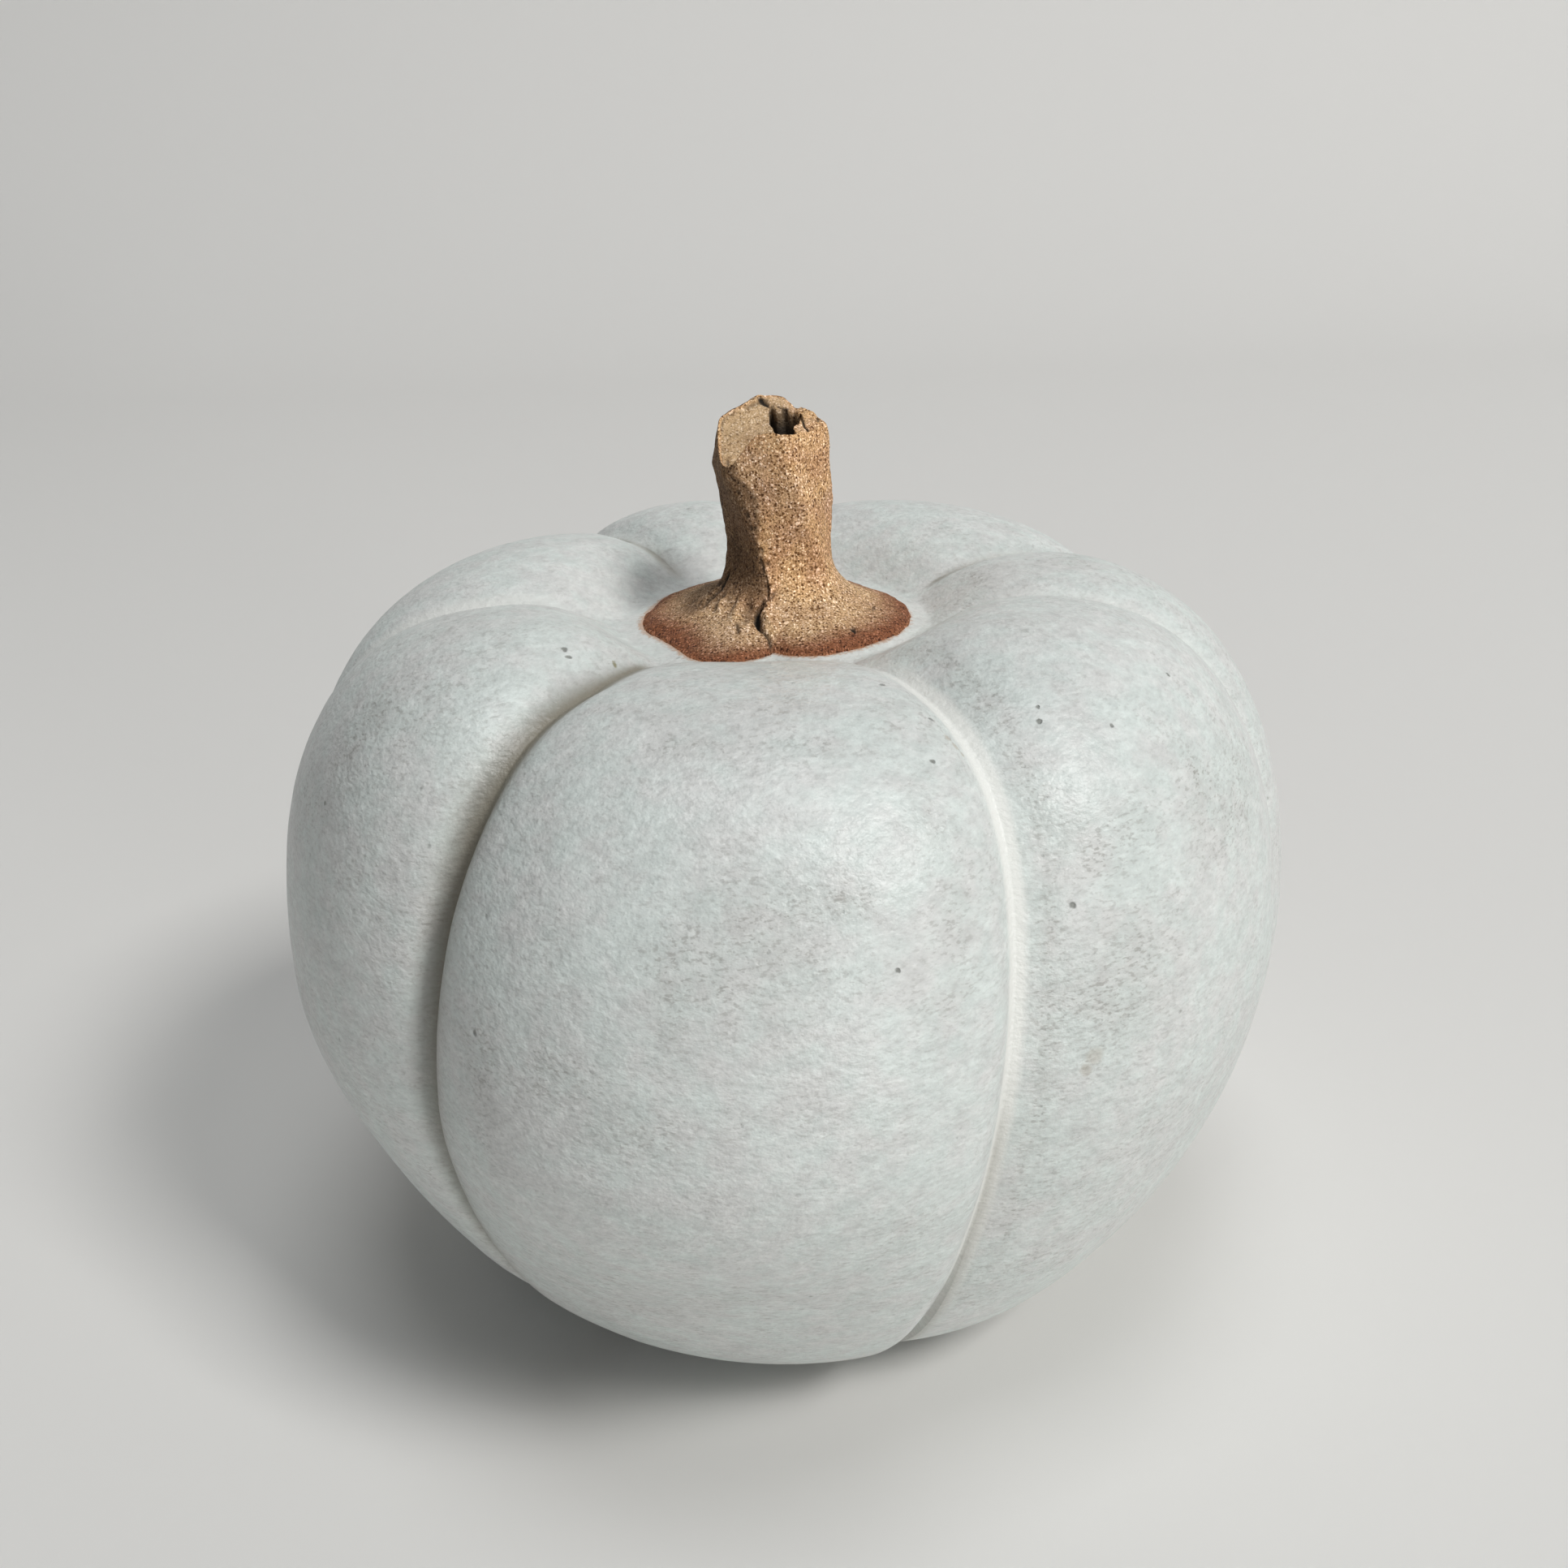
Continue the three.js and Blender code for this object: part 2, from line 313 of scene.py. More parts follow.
def lobe_edges(lobe, way):
    """Azimuths in degrees of the grooves on the left and right of a lobe."""
    following = (lobe + 1) % len(GROOVES)
    lean = np.cos((way - AT_CREST) * np.pi / 2)
    start = GROOVES[lobe, AZIMUTH] + GROOVES[lobe, LEAN] * lean
    end = GROOVES[following, AZIMUTH] + GROOVES[following, LEAN] * lean + np.where(following == 0, 360, 0)
    return start, end


def to_groove(lobe, side, way):
    """Distance to the nearer groove along a level line."""
    start, end = lobe_edges(lobe, way)
    return (1 - np.abs(side)) * np.radians(end - start) / 2 * body_outline(way)[0][..., 0]


def body_points(lobe, side, way, inset):
    """Points of the body, where side runs across a lobe from -1 at its own groove to 1."""
    following = (lobe + 1) % len(GROOVES)
    start, end = lobe_edges(lobe, way)
    azimuth = np.radians(lerp(start, end, (side + 1) / 2))
    nearness = np.abs(side)
    place, along = body_outline(way)
    depth, crease, width = (
        np.where(side < 0, GROOVES[lobe, own], GROOVES[following, other])
        for own, other in ((DEPTH, DEPTH), (RIGHT_CREASE, LEFT_CREASE), (RIGHT_WIDTH, LEFT_WIDTH))
    )
    groove_share = half_wave(way / AT_BELLY) * half_wave(AT_FOOT - way)
    valley = (depth - crease) * nearness**LOBE_ROUNDING
    widening = lerp(FIRST_CREASE_WIDENING, 1, smoothstep(way, *FIRST_CREASE_NARROWS))
    width = width * np.where((lobe == 0) & (side < 0), widening, 1)
    crease_share = half_wave(way / AT_BELLY) * half_wave((AT_FOOT - way) / CREASE_FROM_FOOT)
    groove = groove_share * valley + crease_share * crease * hump(to_groove(lobe, side, way), width)
    belly_share = half_wave(way / SWELL_FROM_SEAT) * half_wave((AT_FOOT - way) / SWELL_FROM_FOOT)
    belly_share = belly_share**SWELL_POWER
    low_share = np.where(way > AT_BELLY, np.sin((way - AT_BELLY) * np.pi) ** 2, 0)
    high_share = np.where(way < AT_BELLY, np.sin(way / AT_BELLY * np.pi) ** 2, 0)
    belly, low, high = (LOBES[lobe, column] for column in range(3))
    swell = belly * belly_share + low * low_share + high * high_share
    rise = swell * (1 - nearness**2) - groove - inset
    reach = place[..., 0] - along[..., 1] * rise
    return np.stack([
        AXIS[0] + reach * np.sin(azimuth),
        AXIS[1] - reach * np.cos(azimuth),
        place[..., 1] + along[..., 0] * rise,
    ], -1)


COLUMNS_PER_LOBE = 60
COLUMN_CROWDING = 0.8
BODY_ROWS = {"under": 84, "shoulder": 74, "crown": 40, "collar": 18, "inside": 12}

# The seat under the stem has close rings down to a share of its radius, and two more further in
COLLAR_RINGS_END = 0.78
SEAT_RINGS = (0.6, 0.35)

# Unevenness from the hands: size of the lumps and how far they stand out. It rises over these
# heights above the floor and these distances beyond the flare's edge.
HAND_LUMPS = 19
HAND_DEPTH = 0.16
FINE_LUMPS = 2.4
FINE_DEPTH = 0.03
OFF_FLOOR = (0.2, 6)
OFF_STEM = (-1, 1)

# A collar of glaze slopes down from the edge of the stem's flare and meets the crown in a fold
COLLAR_HEIGHT = 92.4
COLLAR_SLOPE = 0.22
COLLAR_FOLD = 0.3
COLLAR_LUMPS = 3.5
COLLAR_DEPTH = 0.08
COLLAR_BAND = (-0.7, -0.1, 2.5, 6.5)
COLLAR_LOWEST = CREST[1] - 12

# The columns of the next three tables, which have a row for each groove
SHARE, LEFT, RIGHT, START, END = range(5)

# Glaze gathers pale in the grooves, and in the second groove its band is also a painted highlight
# on the wall that faces the lamps: how much in each, and the width of its band left and right of it
GLAZE_POOLS_AND_HIGHLIGHT = np.array([
    (0, 1, 1),
    (0.9, 1.7, 1.4),
    (0.3, 0.4, 2.6),
    (0.3, 1.4, 1.4),
    (0.3, 1.4, 1.4),
    (0.3, 1.4, 1.4),
    (0.8, 3.2, 0.3),
])

# Painted shade darkens the bottom of the grooves: how much, how wide left and right of it, and from
# what way down it to what way. The lines are narrower on the crown.
DARK_LINES = np.array([
    (0.92, 2.3, 3.6, 0.25, 2.98),
    (0.4, 0.4, 1.2, 1.9, 2.95),
    (0.45, 0.7, 1.6, 0.45, 1.25),
    (0.4, 0.7, 1.6, 0.3, 1.2),
    (0.4, 0.8, 0.8, 0.3, 1.2),
    (0.35, 3, 3, 0.1, 0.9),
    (0.5, 0.5, 2.4, 0.2, 1.5),
])
DARK_LINE_ON_CROWN = 0.38
DARK_LINE_WIDENS = (0.7, 1.5)

# A thin line of painted shade runs down the crease of some of them, given in the same way
CREASE_SHADE_LINES = np.array([
    (0, 0.3, 0.3, 0, 1),
    (0, 0.3, 0.3, 0, 1),
    (0.9, 1.25, 0.3, 0.3, 1.55),
    (0.8, 1.25, 0.3, 0.2, 1.4),
    (0.7, 0.3, 0.3, 0.2, 1.3),
    (0.7, 0.3, 1.1, 0.2, 1.3),
    (0.5, 0.3, 1.4, 0.25, 1.5),
])

# A darker streak, drawn in the same way as thin glaze, runs down beside the second groove, on its right
STREAK = 0.6
STREAK_DISTANCE = 4.2
STREAK_WIDTH = 1.7

# Clouds where the glaze is thin, grey and full of pits: lobe, place across it, way down it, half
# width, half height and strength
CLOUDS = [
    (0, 0.08, 1.215, 16, 1.7, 0.7),
    (0, -0.05, 1.1, 14, 2, 0.35),
    (0, 0.1, 1.565, 5, 8, 0.6),
    (0, 0.38, 1.52, 4.5, 2, 1),
    (0, 0.72, 1.475, 3, 10, 0.6),
    (0, -0.08, 1.675, 2.5, 9, 0.5),
    (0, -0.67, 1.87, 3, 6, 0.8),
    (0, -0.15, 1.905, 5, 2.5, 0.5),
    (0, 0.17, 2.325, 7, 2, 0.6),
    (0, 0.65, 2.165, 4, 2.5, 0.6),
    (1, -0.68, 1.51, 10, 4, 0.6),
    (1, -0.02, 1.5, 3, 4.5, 0.9),
    (1, -0.52, 1.71, 7, 5, 0.5),
    (1, -0.65, 1.83, 6, 5, 0.8),
    (6, 0.15, 1.305, 6, 3.5, 0.6),
    (6, 0.17, 1.47, 4, 6, 0.6),
    (2, -0.15, 0.585, 5, 2, 0.8),
    (3, -0.73, 0.885, 11, 1.2, 0.5),
    (6, 0.2, 1.4, 15, 26, 0.3),
    (0, -0.9, 1.7, 12, 30, 0.22),
    (0, 0, 2.4, 40, 16, 0.3),
    (1, 0, 2.3, 30, 20, 0.35),
    (2, 0, 1.5, 20, 30, 0.25),
]


def thin_glaze(points):
    """How thin the glaze is, from 0 to 1: the clouds above, and fainter ones strewn all round."""
    thick = 1 - 0.5 * smoothstep(layered_noise(points, 13, 71), 0.25, 1.1)
    for lobe, side, way, width, height, strength in CLOUDS:
        centre = body_points(np.array(lobe), np.array(side), np.array(way), 0)
        turn = math.radians(azimuth_of(centre))
        offset = points - centre
        across = offset @ np.array([math.cos(turn), math.sin(turn), 0])
        along = np.sqrt(np.maximum((offset**2).sum(-1) - across**2, 0))
        thick = thick * (1 - strength * hump(across, width) * hump(along, height))
    return (1 - thick) * np.clip(0.8 + 0.5 * soft_noise(points, 2.6, 75), 0, 1)


def azimuth_of(points):
    return np.degrees(np.arctan2(points[..., 0] - AXIS[0], AXIS[1] - points[..., 1]))


def hermite(before, start, end, after, t):
    leave = (end - before) / 2
    arrive = (after - start) / 2
    return (
        (2 * start - 2 * end + leave + arrive) * t**3
        + (3 * end - 3 * start - 2 * leave - arrive) * t**2
        + leave * t
        + start
    )


def around(values, azimuth):
    """A smooth closed curve through values that stand evenly round the axis, the first in front."""
    count = len(values)
    place = np.mod(azimuth, 360) / 360 * count
    index = np.floor(place).astype(int)
    corners = (values[(index + step) % count] for step in (-1, 0, 1, 2))
    return hermite(*corners, place - index)


def flare_spread(azimuth, height):
    away = np.mod(azimuth - NOTCH_AZIMUTH + 180, 360) - 180
    edge = around(FLARE_REACHES, azimuth) - NOTCH_DEPTH * hump(away, NOTCH_WIDTH)
    return (1 - smoothstep(height, 0, FLARE_HEIGHT)) * (edge - STEM_OUTLINE[0, 0])


def beyond_flare(points):
    """How far a point lies outside the edge of the stem's flare, seen from above."""
    reach = np.hypot(points[..., 0] - AXIS[0], points[..., 1] - AXIS[1])
    return reach - STEM_OUTLINE[0, 0] - flare_spread(azimuth_of(points), 0.5)


def uneven_skin(skin, beyond):
    """The skin with the unevenness that the hands left."""
    lumps = HAND_DEPTH * layered_noise(skin, HAND_LUMPS, 11, 2)
    lumps = lumps + FINE_DEPTH * soft_noise(skin, FINE_LUMPS, 17)
    lumps = lumps * smoothstep(skin[..., 2], *OFF_FLOOR) * smoothstep(beyond, *OFF_STEM)
    return skin + surface_normals(skin) * lumps[..., None]


def collared_skin(skin, beyond):
    """The skin with its collar, the higher of the collar's slope and the crown, and its paleness."""
    slope = COLLAR_HEIGHT - COLLAR_SLOPE * beyond + COLLAR_DEPTH * soft_noise(skin, COLLAR_LUMPS, 19)
    above = (slope - skin[..., 2]) / COLLAR_FOLD
    raised = COLLAR_FOLD * np.logaddexp(0, np.clip(above, -40, 40))
    near = share_between(beyond, *COLLAR_BAND) * (skin[..., 2] > COLLAR_LOWEST)
    collared = skin.copy()
    collared[..., 2] += raised * near
    paleness = smoothstep(above, -3, 4) * (1 - smoothstep(beyond, 1.5, 4.5))
    return collared, paleness * near


def groove_marks(lobe, side, ways, outer):
    """Pooled glaze, in one groove partly a painted highlight, painted shade in the grooves, and a darker
    streak beside one of them.
    """
    following = (lobe + 1) % len(GROOVES)
    way = ways[:, None]
    distance = to_groove(lobe, side, way)

    def at_groove(table, left, right):
        return np.where(side < 0, table[lobe, right], table[following, left])

    def lines(table, fade_in, fade_out, narrowed=1):
        start, end = at_groove(table, START, START), at_groove(table, END, END)
        along = share_between(way, start, start + fade_in, end - fade_out, end)
        width = at_groove(table, LEFT, RIGHT) * narrowed
        return at_groove(table, SHARE, SHARE) * hump(distance, width) * along

    width = at_groove(GLAZE_POOLS_AND_HIGHLIGHT, LEFT, RIGHT)
    # Pale pooled glaze, which in the second groove is also a painted highlight on its lit wall
    in_band = at_groove(GLAZE_POOLS_AND_HIGHLIGHT, SHARE, SHARE) * (1 - smoothstep(distance, width * 0.6, width * 1.3))
    pool_and_highlight = in_band * share_between(way, 0.4, 1, 2.2, 2.8)
    dark = lines(DARK_LINES, 0.25, 0.25, lerp(DARK_LINE_ON_CROWN, 1, smoothstep(way, *DARK_LINE_WIDENS)))
    crease_shade = lines(CREASE_SHADE_LINES, 0.2, 0.3) * np.clip(0.8 + 0.4 * soft_noise(outer, 2.5, 77), 0, 1)
    beside = (lobe == 1) * (side < 0) * STREAK * hump(distance - STREAK_DISTANCE, STREAK_WIDTH)
    streak = beside * share_between(way, 0.45, 0.7, 2.2, 2.8)
    return pool_and_highlight, np.maximum(dark, crease_shade), streak


def make_body():
    columns = np.linspace(-1, 1, COLUMNS_PER_LOBE, endpoint=False)
    side = np.tile(lerp(columns, np.sin(columns * np.pi / 2), COLUMN_CROWDING), len(GROOVES))
    lobe = np.repeat(np.arange(len(GROOVES)), COLUMNS_PER_LOBE)
    ways = np.concatenate([
        np.linspace(AT_FOOT, AT_BELLY, BODY_ROWS["under"], endpoint=False),
        np.linspace(AT_BELLY, AT_CREST, BODY_ROWS["shoulder"], endpoint=False),
        np.linspace(AT_CREST, AT_SEAT, BODY_ROWS["crown"]),
    ])

    def ring(way, inset):
        return body_points(lobe, side, np.full(len(side), float(way)), inset)

    inner = np.array([ring(way, WALL) for way in np.linspace(AT_SEAT, AT_FOOT, BODY_ROWS["inside"])])
    outer = np.array([ring(way, 0) for way in ways])

    # The seat under the stem, in rings from the crown's edge to the middle
    shares = np.append(np.linspace(1, COLLAR_RINGS_END, BODY_ROWS["collar"])[1:], SEAT_RINGS)
    centre = np.array([*AXIS, SEAT[1]])
    seat = centre + (outer[-1] - centre) * shares[:, None, None]
    skin = np.concatenate([outer, seat])
    beyond = beyond_flare(skin)
    skin, collar = collared_skin(uneven_skin(skin, beyond), beyond)

    def vent_ring(height):
        reach = (outer[0] - centre) * VENT_RADIUS / FOOT[0] + centre
        reach[:, 2] = height
        return reach

    ceiling = inner[0, 0, 2]
    floor = inner[-1, 0, 2]
    rings = np.concatenate([inner, [vent_ring(floor), vent_ring(0)], skin])
    hidden = len(inner) + 2

    def on_outside(values):
        filled = np.zeros(rings.shape[:2])
        filled[hidden:hidden + len(ways)] = values
        return filled

    # Marks of the grooves: pale pools, partly a painted highlight, painted shade and a darker streak
    pool_and_highlight, groove_shade, streak = (on_outside(mark) for mark in groove_marks(lobe, side, ways, outer))

    # The rings of the vent and the edge of the foot are bare clay
    bare = np.zeros(rings.shape[:2])
    bare[hidden - 2:hidden + 1] = 1
    attributes = {
        "bare": bare,
        "pool_and_highlight": pool_and_highlight,
        "groove_shade": groove_shade,
        "thin": np.maximum(thin_glaze(rings), streak) * np.clip(1 - 1.5 * pool_and_highlight, 0, 1),
        "beyond": rings_before(hidden, FAR, beyond),
        "collar": rings_before(hidden, 0, collar),
    }
    return closed_mesh("glazed_body", (*AXIS, ceiling), rings, (*AXIS, SEAT[1]), attributes)


# Stem

STEM_COLUMNS = 430
FRONT_CROWDING = 0.35
STEM_ROWS = {"shaft": 156, "rim": 19, "face": 28, "wall": 10, "floor": 8}

# Lumps in the clay: their size, how far they stand out and their seed
CLAY_LUMPS = [(3.1, 0.12, 31), (1.2, 0.07, 32), (0.5, 0.05, 33)]

# More of them along the edge of the flare
FLARE_LUMPS = 0.9
FLARE_DEPTH = 0.16

# Lines in the clay, each as azimuths and shares of the outline from the flare's edge to the top,
# with its width, its depth and how dark the painted shade in it is
MAIN_CRACK = [
    (-16, 0.506), (-13, 0.424), (-17, 0.401), (-18.5, 0.363), (-16, 0.321), (-12, 0.271),
    (-7.5, 0.223), (-5, 0.175), (-3.5, 0.11), (-2.5, 0.035),
]
FACET_EDGE = [
    (-16, 0.388), (-12, 0.465), (-16, 0.56), (-28, 0.705), (-30, 0.818), (-33, 0.905), (-50, 1),
]
EDGE_WIDTH = 0.3
EDGE_RISE = 0.14
CHIP_DEPTH = 0.3
CLAY_LINES = [
    (MAIN_CRACK, 0.24, 0.7, 0.9),
    (MAIN_CRACK[2:6], 0.5, 1.2, 1),
    ([(-18.5, 0.556), (-16, 0.506), (-13, 0.424)], 0.16, 0.2, 0.5),
    ([(-28, 0.3), (-23, 0.262), (-21, 0.235)], 0.22, 0.4, 0.8),
    ([(-94, 0.316), (-84, 0.276), (-82, 0.24)], 0.3, 0.35, 0.6),
    ([(-88, 0.38), (-79, 0.335), (-72, 0.29)], 0.28, 0.4, 0.7),
    ([(-77, 0.42), (-72, 0.36), (-66, 0.3)], 0.3, 0.45, 0.7),
    ([(-104, 0.36), (-92, 0.4), (-80, 0.47)], 0.4, 0.45, 0.6),
    ([(-66, 0.42), (-60, 0.36), (-52, 0.3)], 0.45, 0.5, 0.5),
    ([(-46, 0.43), (-42, 0.36), (-38, 0.31)], 0.4, 0.35, 0.35),
    ([(-33, 0.42), (-25, 0.35), (-22, 0.29)], 0.75, 0.6, 0.45),
    ([(-72, 0.4), (-78, 0.47), (-80, 0.54)], 0.3, 0.4, 1),
    ([(36.5, 0.16), (37, 0.185), (39, 0.2)], 0.3, 0.4, 1),
    ([(62, 0.27), (66, 0.24), (72, 0.25)], 0.2, 0.2, 0.5),
]

# Ridges that stand up in the same way, and are painted paler than the clay around them as a highlight
CLAY_RIDGES = [
    ([(-62, 0.41), (-54, 0.35), (-44, 0.29)], 0.5, 0.4, 0.25),
    ([(-80, 0.4), (-74, 0.34), (-66, 0.27)], 0.4, 0.3, 0.1),
    ([(-42, 0.42), (-34, 0.34), (-29, 0.28)], 0.5, 0.35, 0.3),
    ([(-11, 0.415), (-11.5, 0.36), (-10, 0.32), (-6.5, 0.275), (-2, 0.225), (0, 0.17)], 0.42, 0.38, 0.5),
    ([(-15, 0.415), (-14, 0.385)], 0.3, 0.3, 0.4),
    ([(41.5, 0.246), (45, 0.235)], 0.4, 0.3, 0.6),
    ([(44, 0.12), (48, 0.125)], 0.3, 0.25, 0.8),
]

# Lines on the top, each as places from the axis, with its width, its depth and how dark the painted shade
# in it is
TOP_LINES = [
    ([(-1.2, 5.6), (-0.5, 5.7), (0.2, 5.2), (0.9, 5.5)], 0.2, 0.4, 1),
    ([(1.0, 5.2), (2.1, 4.6), (3.3, 4.7), (4.2, 4.3)], 0.22, 0.35, 0.75),
    ([(-2.6, 5.9), (-1.9, 5.6), (-1.4, 5.8)], 0.16, 0.25, 0.7),
    ([(4.1, 2.6), (4.5, -1.5), (5.1, -3.4), (5.0, -5)], 0.17, 0.35, 1),
    ([(2.4, -1.0), (2.5, -3.5), (2.5, -5.6)], 0.5, 0.55, 0.3),
    ([(5.9, 3.4), (6.3, 1.2), (6.2, -0.4)], 0.16, 0.25, 0.7),
]

# A line follows the rim of the cut face, which faces this way and reaches this far to either side
CUT_AZIMUTH = -108
CUT_HALF_TURN = 72
CUT_LINE_FROM_RIM = 0.5
CUT_LINE_WIDTH = 0.11
CUT_LINE_DEPTH = 0.12
LAP_SHADOW_FROM_RIM = 1.15
LAP_SHADOW_WIDTH = 0.3


def spline(points, share):
    """A smooth curve through the points, at shares from 0 to 1 of the way."""
    last = len(points) - 1
    place = share * last
    index = np.minimum(np.floor(place).astype(int), last - 1)
    corners = (points[np.clip(index + step, 0, last)] for step in (-1, 0, 1, 2))
    return hermite(*corners, (place - index)[..., None])


def flatness(azimuth, height):
    """The shaft is pressed into flats, which twist round it as they climb."""
    twist = FACET_TWIST * smoothstep(height, 0, CUT_HEIGHT)
    total = 0
    for facet in STEM_FACETS:
        facing = np.cos(np.radians(azimuth - facet - twist))
        total = total + np.maximum(facing, 0) ** FACET_SHARPNESS
    return lerp(1, total ** (-1 / FACET_SHARPNESS), smoothstep(height, FLARE_HEIGHT / 2, SHAFT_HEIGHT))


def stem_points(azimuth, radius, height):
    reach = radius * flatness(azimuth, height) + flare_spread(azimuth, height)
    climb = np.clip(height / STEM_SWAY_HEIGHT, 0, 1) ** STEM_SWAY_SKEW
    sway = STEM_SWAY * np.sin(climb * np.pi)
    return np.stack(np.broadcast_arrays(
        AXIS[0] + sway + reach * np.sin(np.radians(azimuth)),
        AXIS[1] - reach * np.cos(np.radians(azimuth)),
        STEM_BASE + height,
    ), -1)


def rim_points(azimuth, share):
    """From the top of the shaft at 0 to the rim at 1. The rolled side bends inwards."""
    radius, height = STEM_OUTLINE[-1]
    rolled = share_between(azimuth, *ROLLED_SIDE)
    bend = 1 - np.cos(share * np.pi / 2)
    climb = lerp(share, half_wave(share), rolled)
    turn = np.radians(azimuth)
    circle = np.stack([np.sin(turn), np.cos(turn), 0 * turn], -1)
    torn = RIM_RAGGED * (soft_noise(circle * 6, 1, 63) + 0.6 * soft_noise(circle * 14, 1, 64))
    return stem_points(
        azimuth,
        lerp(radius, around(RIM_RADII, azimuth), share) - ROLLED_INSET * rolled * bend,
        lerp(height, around(RIM_HEIGHTS, azimuth) + torn, climb),
    )


def top_points(azimuth):
    """Rings inside the rim: across the top to the slot, down its wall and over its floor."""
    rim = rim_points(azimuth, 1)
    centre = np.array([AXIS[0] + SLOT_CENTRE[0], AXIS[1] + SLOT_CENTRE[1]])
    way = rim[..., :2] - centre
    span = np.linalg.norm(way, axis=-1)
    angle = np.degrees(np.arctan2(way[..., 0], -way[..., 1]))
    reach = np.interp(angle, SLOT_ANGLES, SLOT_REACHES, period=360)
    ragged = soft_noise(np.stack([angle / 12, reach, span], -1), 1, 61)
    slot = np.minimum(reach * (1 + SLOT_RAGGED * ragged), span - LEAST_LIP) / span

    across = np.linspace(0, 1, STEM_ROWS["face"] + 1)[1:, None] ** 1.3
    down = np.linspace(0, 1, STEM_ROWS["wall"] + 1)[1:, None]
    inward = np.linspace(0, 1, STEM_ROWS["floor"] + 1)[1:-1, None]
    wall, floor = slot * (1 - SLOT_TAPER * down), slot * (1 - SLOT_TAPER) * (1 - inward)
    share = np.concatenate([lerp(1, slot, across), wall, floor])
    drop = np.concatenate([0 * across, down**0.8, 1 + SLOT_TAPER * inward]) * SLOT_DEPTH

    place = centre + way * share[..., None]
    x, y = place[..., 0] - AXIS[0], place[..., 1] - AXIS[1]
    top = rim[..., 2] - STEM_BASE
    depth_in = (1 - share) * span
    cut = CUT_HEIGHT + CUT_SLOPE[0] * x + CUT_SLOPE[1] * y - CUT_HOLLOW * (1 - share**2)
    lap = share_between(azimuth, *LAP_SIDE)
    below = lerp(CUT_BELOW_RIM, LAP_HEIGHT, lap * (1 - smoothstep(depth_in, *LAP_FADE)))
    rounded = smoothstep(depth_in, RIM_EDGE, lerp(CUT_ROUNDING, LAP_ROUNDING, lap))
    cut = lerp(top, np.minimum(cut, top - below), rounded)
    shoulder = lerp(top, SHOULDER_HEIGHT + SHOULDER_SLOPE * y, half_wave(depth_in / SHOULDER_ROUNDING))
    right = share_between(np.mod(angle, 360), *SHOULDER_SIDE)
    height = lerp(cut, shoulder, right) - drop
    return np.concatenate([place, (STEM_BASE + height)[..., None]], -1), depth_in, drop, right


def stem_line(line):
    """Points on the stem along a line of azimuths and shares of the outline."""
    azimuths, climbs = np.array(line, dtype=float).T
    step = np.linspace(0, 1, 4 * (len(line) - 1) + 1)
    knots = np.linspace(0, 1, len(line))
    radius, height = spline(STEM_OUTLINE, np.interp(step, knots, climbs)).T
    return stem_points(np.interp(step, knots, azimuths), radius, height)


class Clay:
    """The relief of a surface of clay, how dark its painted shade is and how pale it is at each point."""

    def __init__(self, points):
        self.points = points
        self.relief = sum(depth * soft_noise(points, size, seed) for size, depth, seed in CLAY_LUMPS)
        self.dark = np.zeros(points.shape[:2])
        self.pale = np.zeros(points.shape[:2])

    def cut(self, distance, along, width, depth, darkness):
        """Cuts a line, which wanders in width and tapers to both ends, and paints shade into it."""
        taper = np.sqrt(np.sin(np.clip(along, 0.03, 0.97) * np.pi))
        wander = 1 + 0.5 * soft_noise(self.points, 1.1, 35)
        near = hump(distance, width * (0.5 + 0.5 * taper) * wander)
        self.relief = self.relief - depth * near * taper
        self.dark = np.maximum(self.dark, darkness * np.clip(1.4 * near * taper, 0, 1))

    def lift(self, distance, along, width, height, paleness):
        """Lifts a ridge, which fades to both ends, with a painted highlight along it."""
        ridge = hump(distance, width) * np.sin(np.clip(along, 0.08, 0.92) * np.pi)
        self.relief = self.relief + height * ridge * (1 + 0.4 * soft_noise(self.points, 0.8, 41))
        self.pale = np.maximum(self.pale, paleness * ridge)

    def chip(self, distance):
        """Raises a sharp edge, and chips away the clay beside it where it isn't raised, with painted shade
        in the chips.
        """
        broken = soft_noise(self.points, 0.9, 36)
        edge = hump(distance, EDGE_WIDTH) * smoothstep(broken, -0.5, 0.4)
        chip = hump(distance - EDGE_WIDTH, EDGE_WIDTH) * smoothstep(-broken, 0.1, 0.5)
        self.relief = self.relief + EDGE_RISE * edge - CHIP_DEPTH * chip
        self.pale = np.maximum(self.pale, 0.7 * edge)
        self.dark = np.maximum(self.dark, 0.55 * chip)


def mark_shaft(clay):
    """The lines, ridges and chipped edge of the stem's flare and shaft."""
    for line, *sizes in CLAY_LINES:
        clay.cut(*line_distance(clay.points, stem_line(line)), *sizes)
    for line, *sizes in CLAY_RIDGES:
        clay.lift(*line_distance(clay.points, stem_line(line)), *sizes)
    distance, along = line_distance(clay.points, stem_line(FACET_EDGE))
    clay.chip(distance)


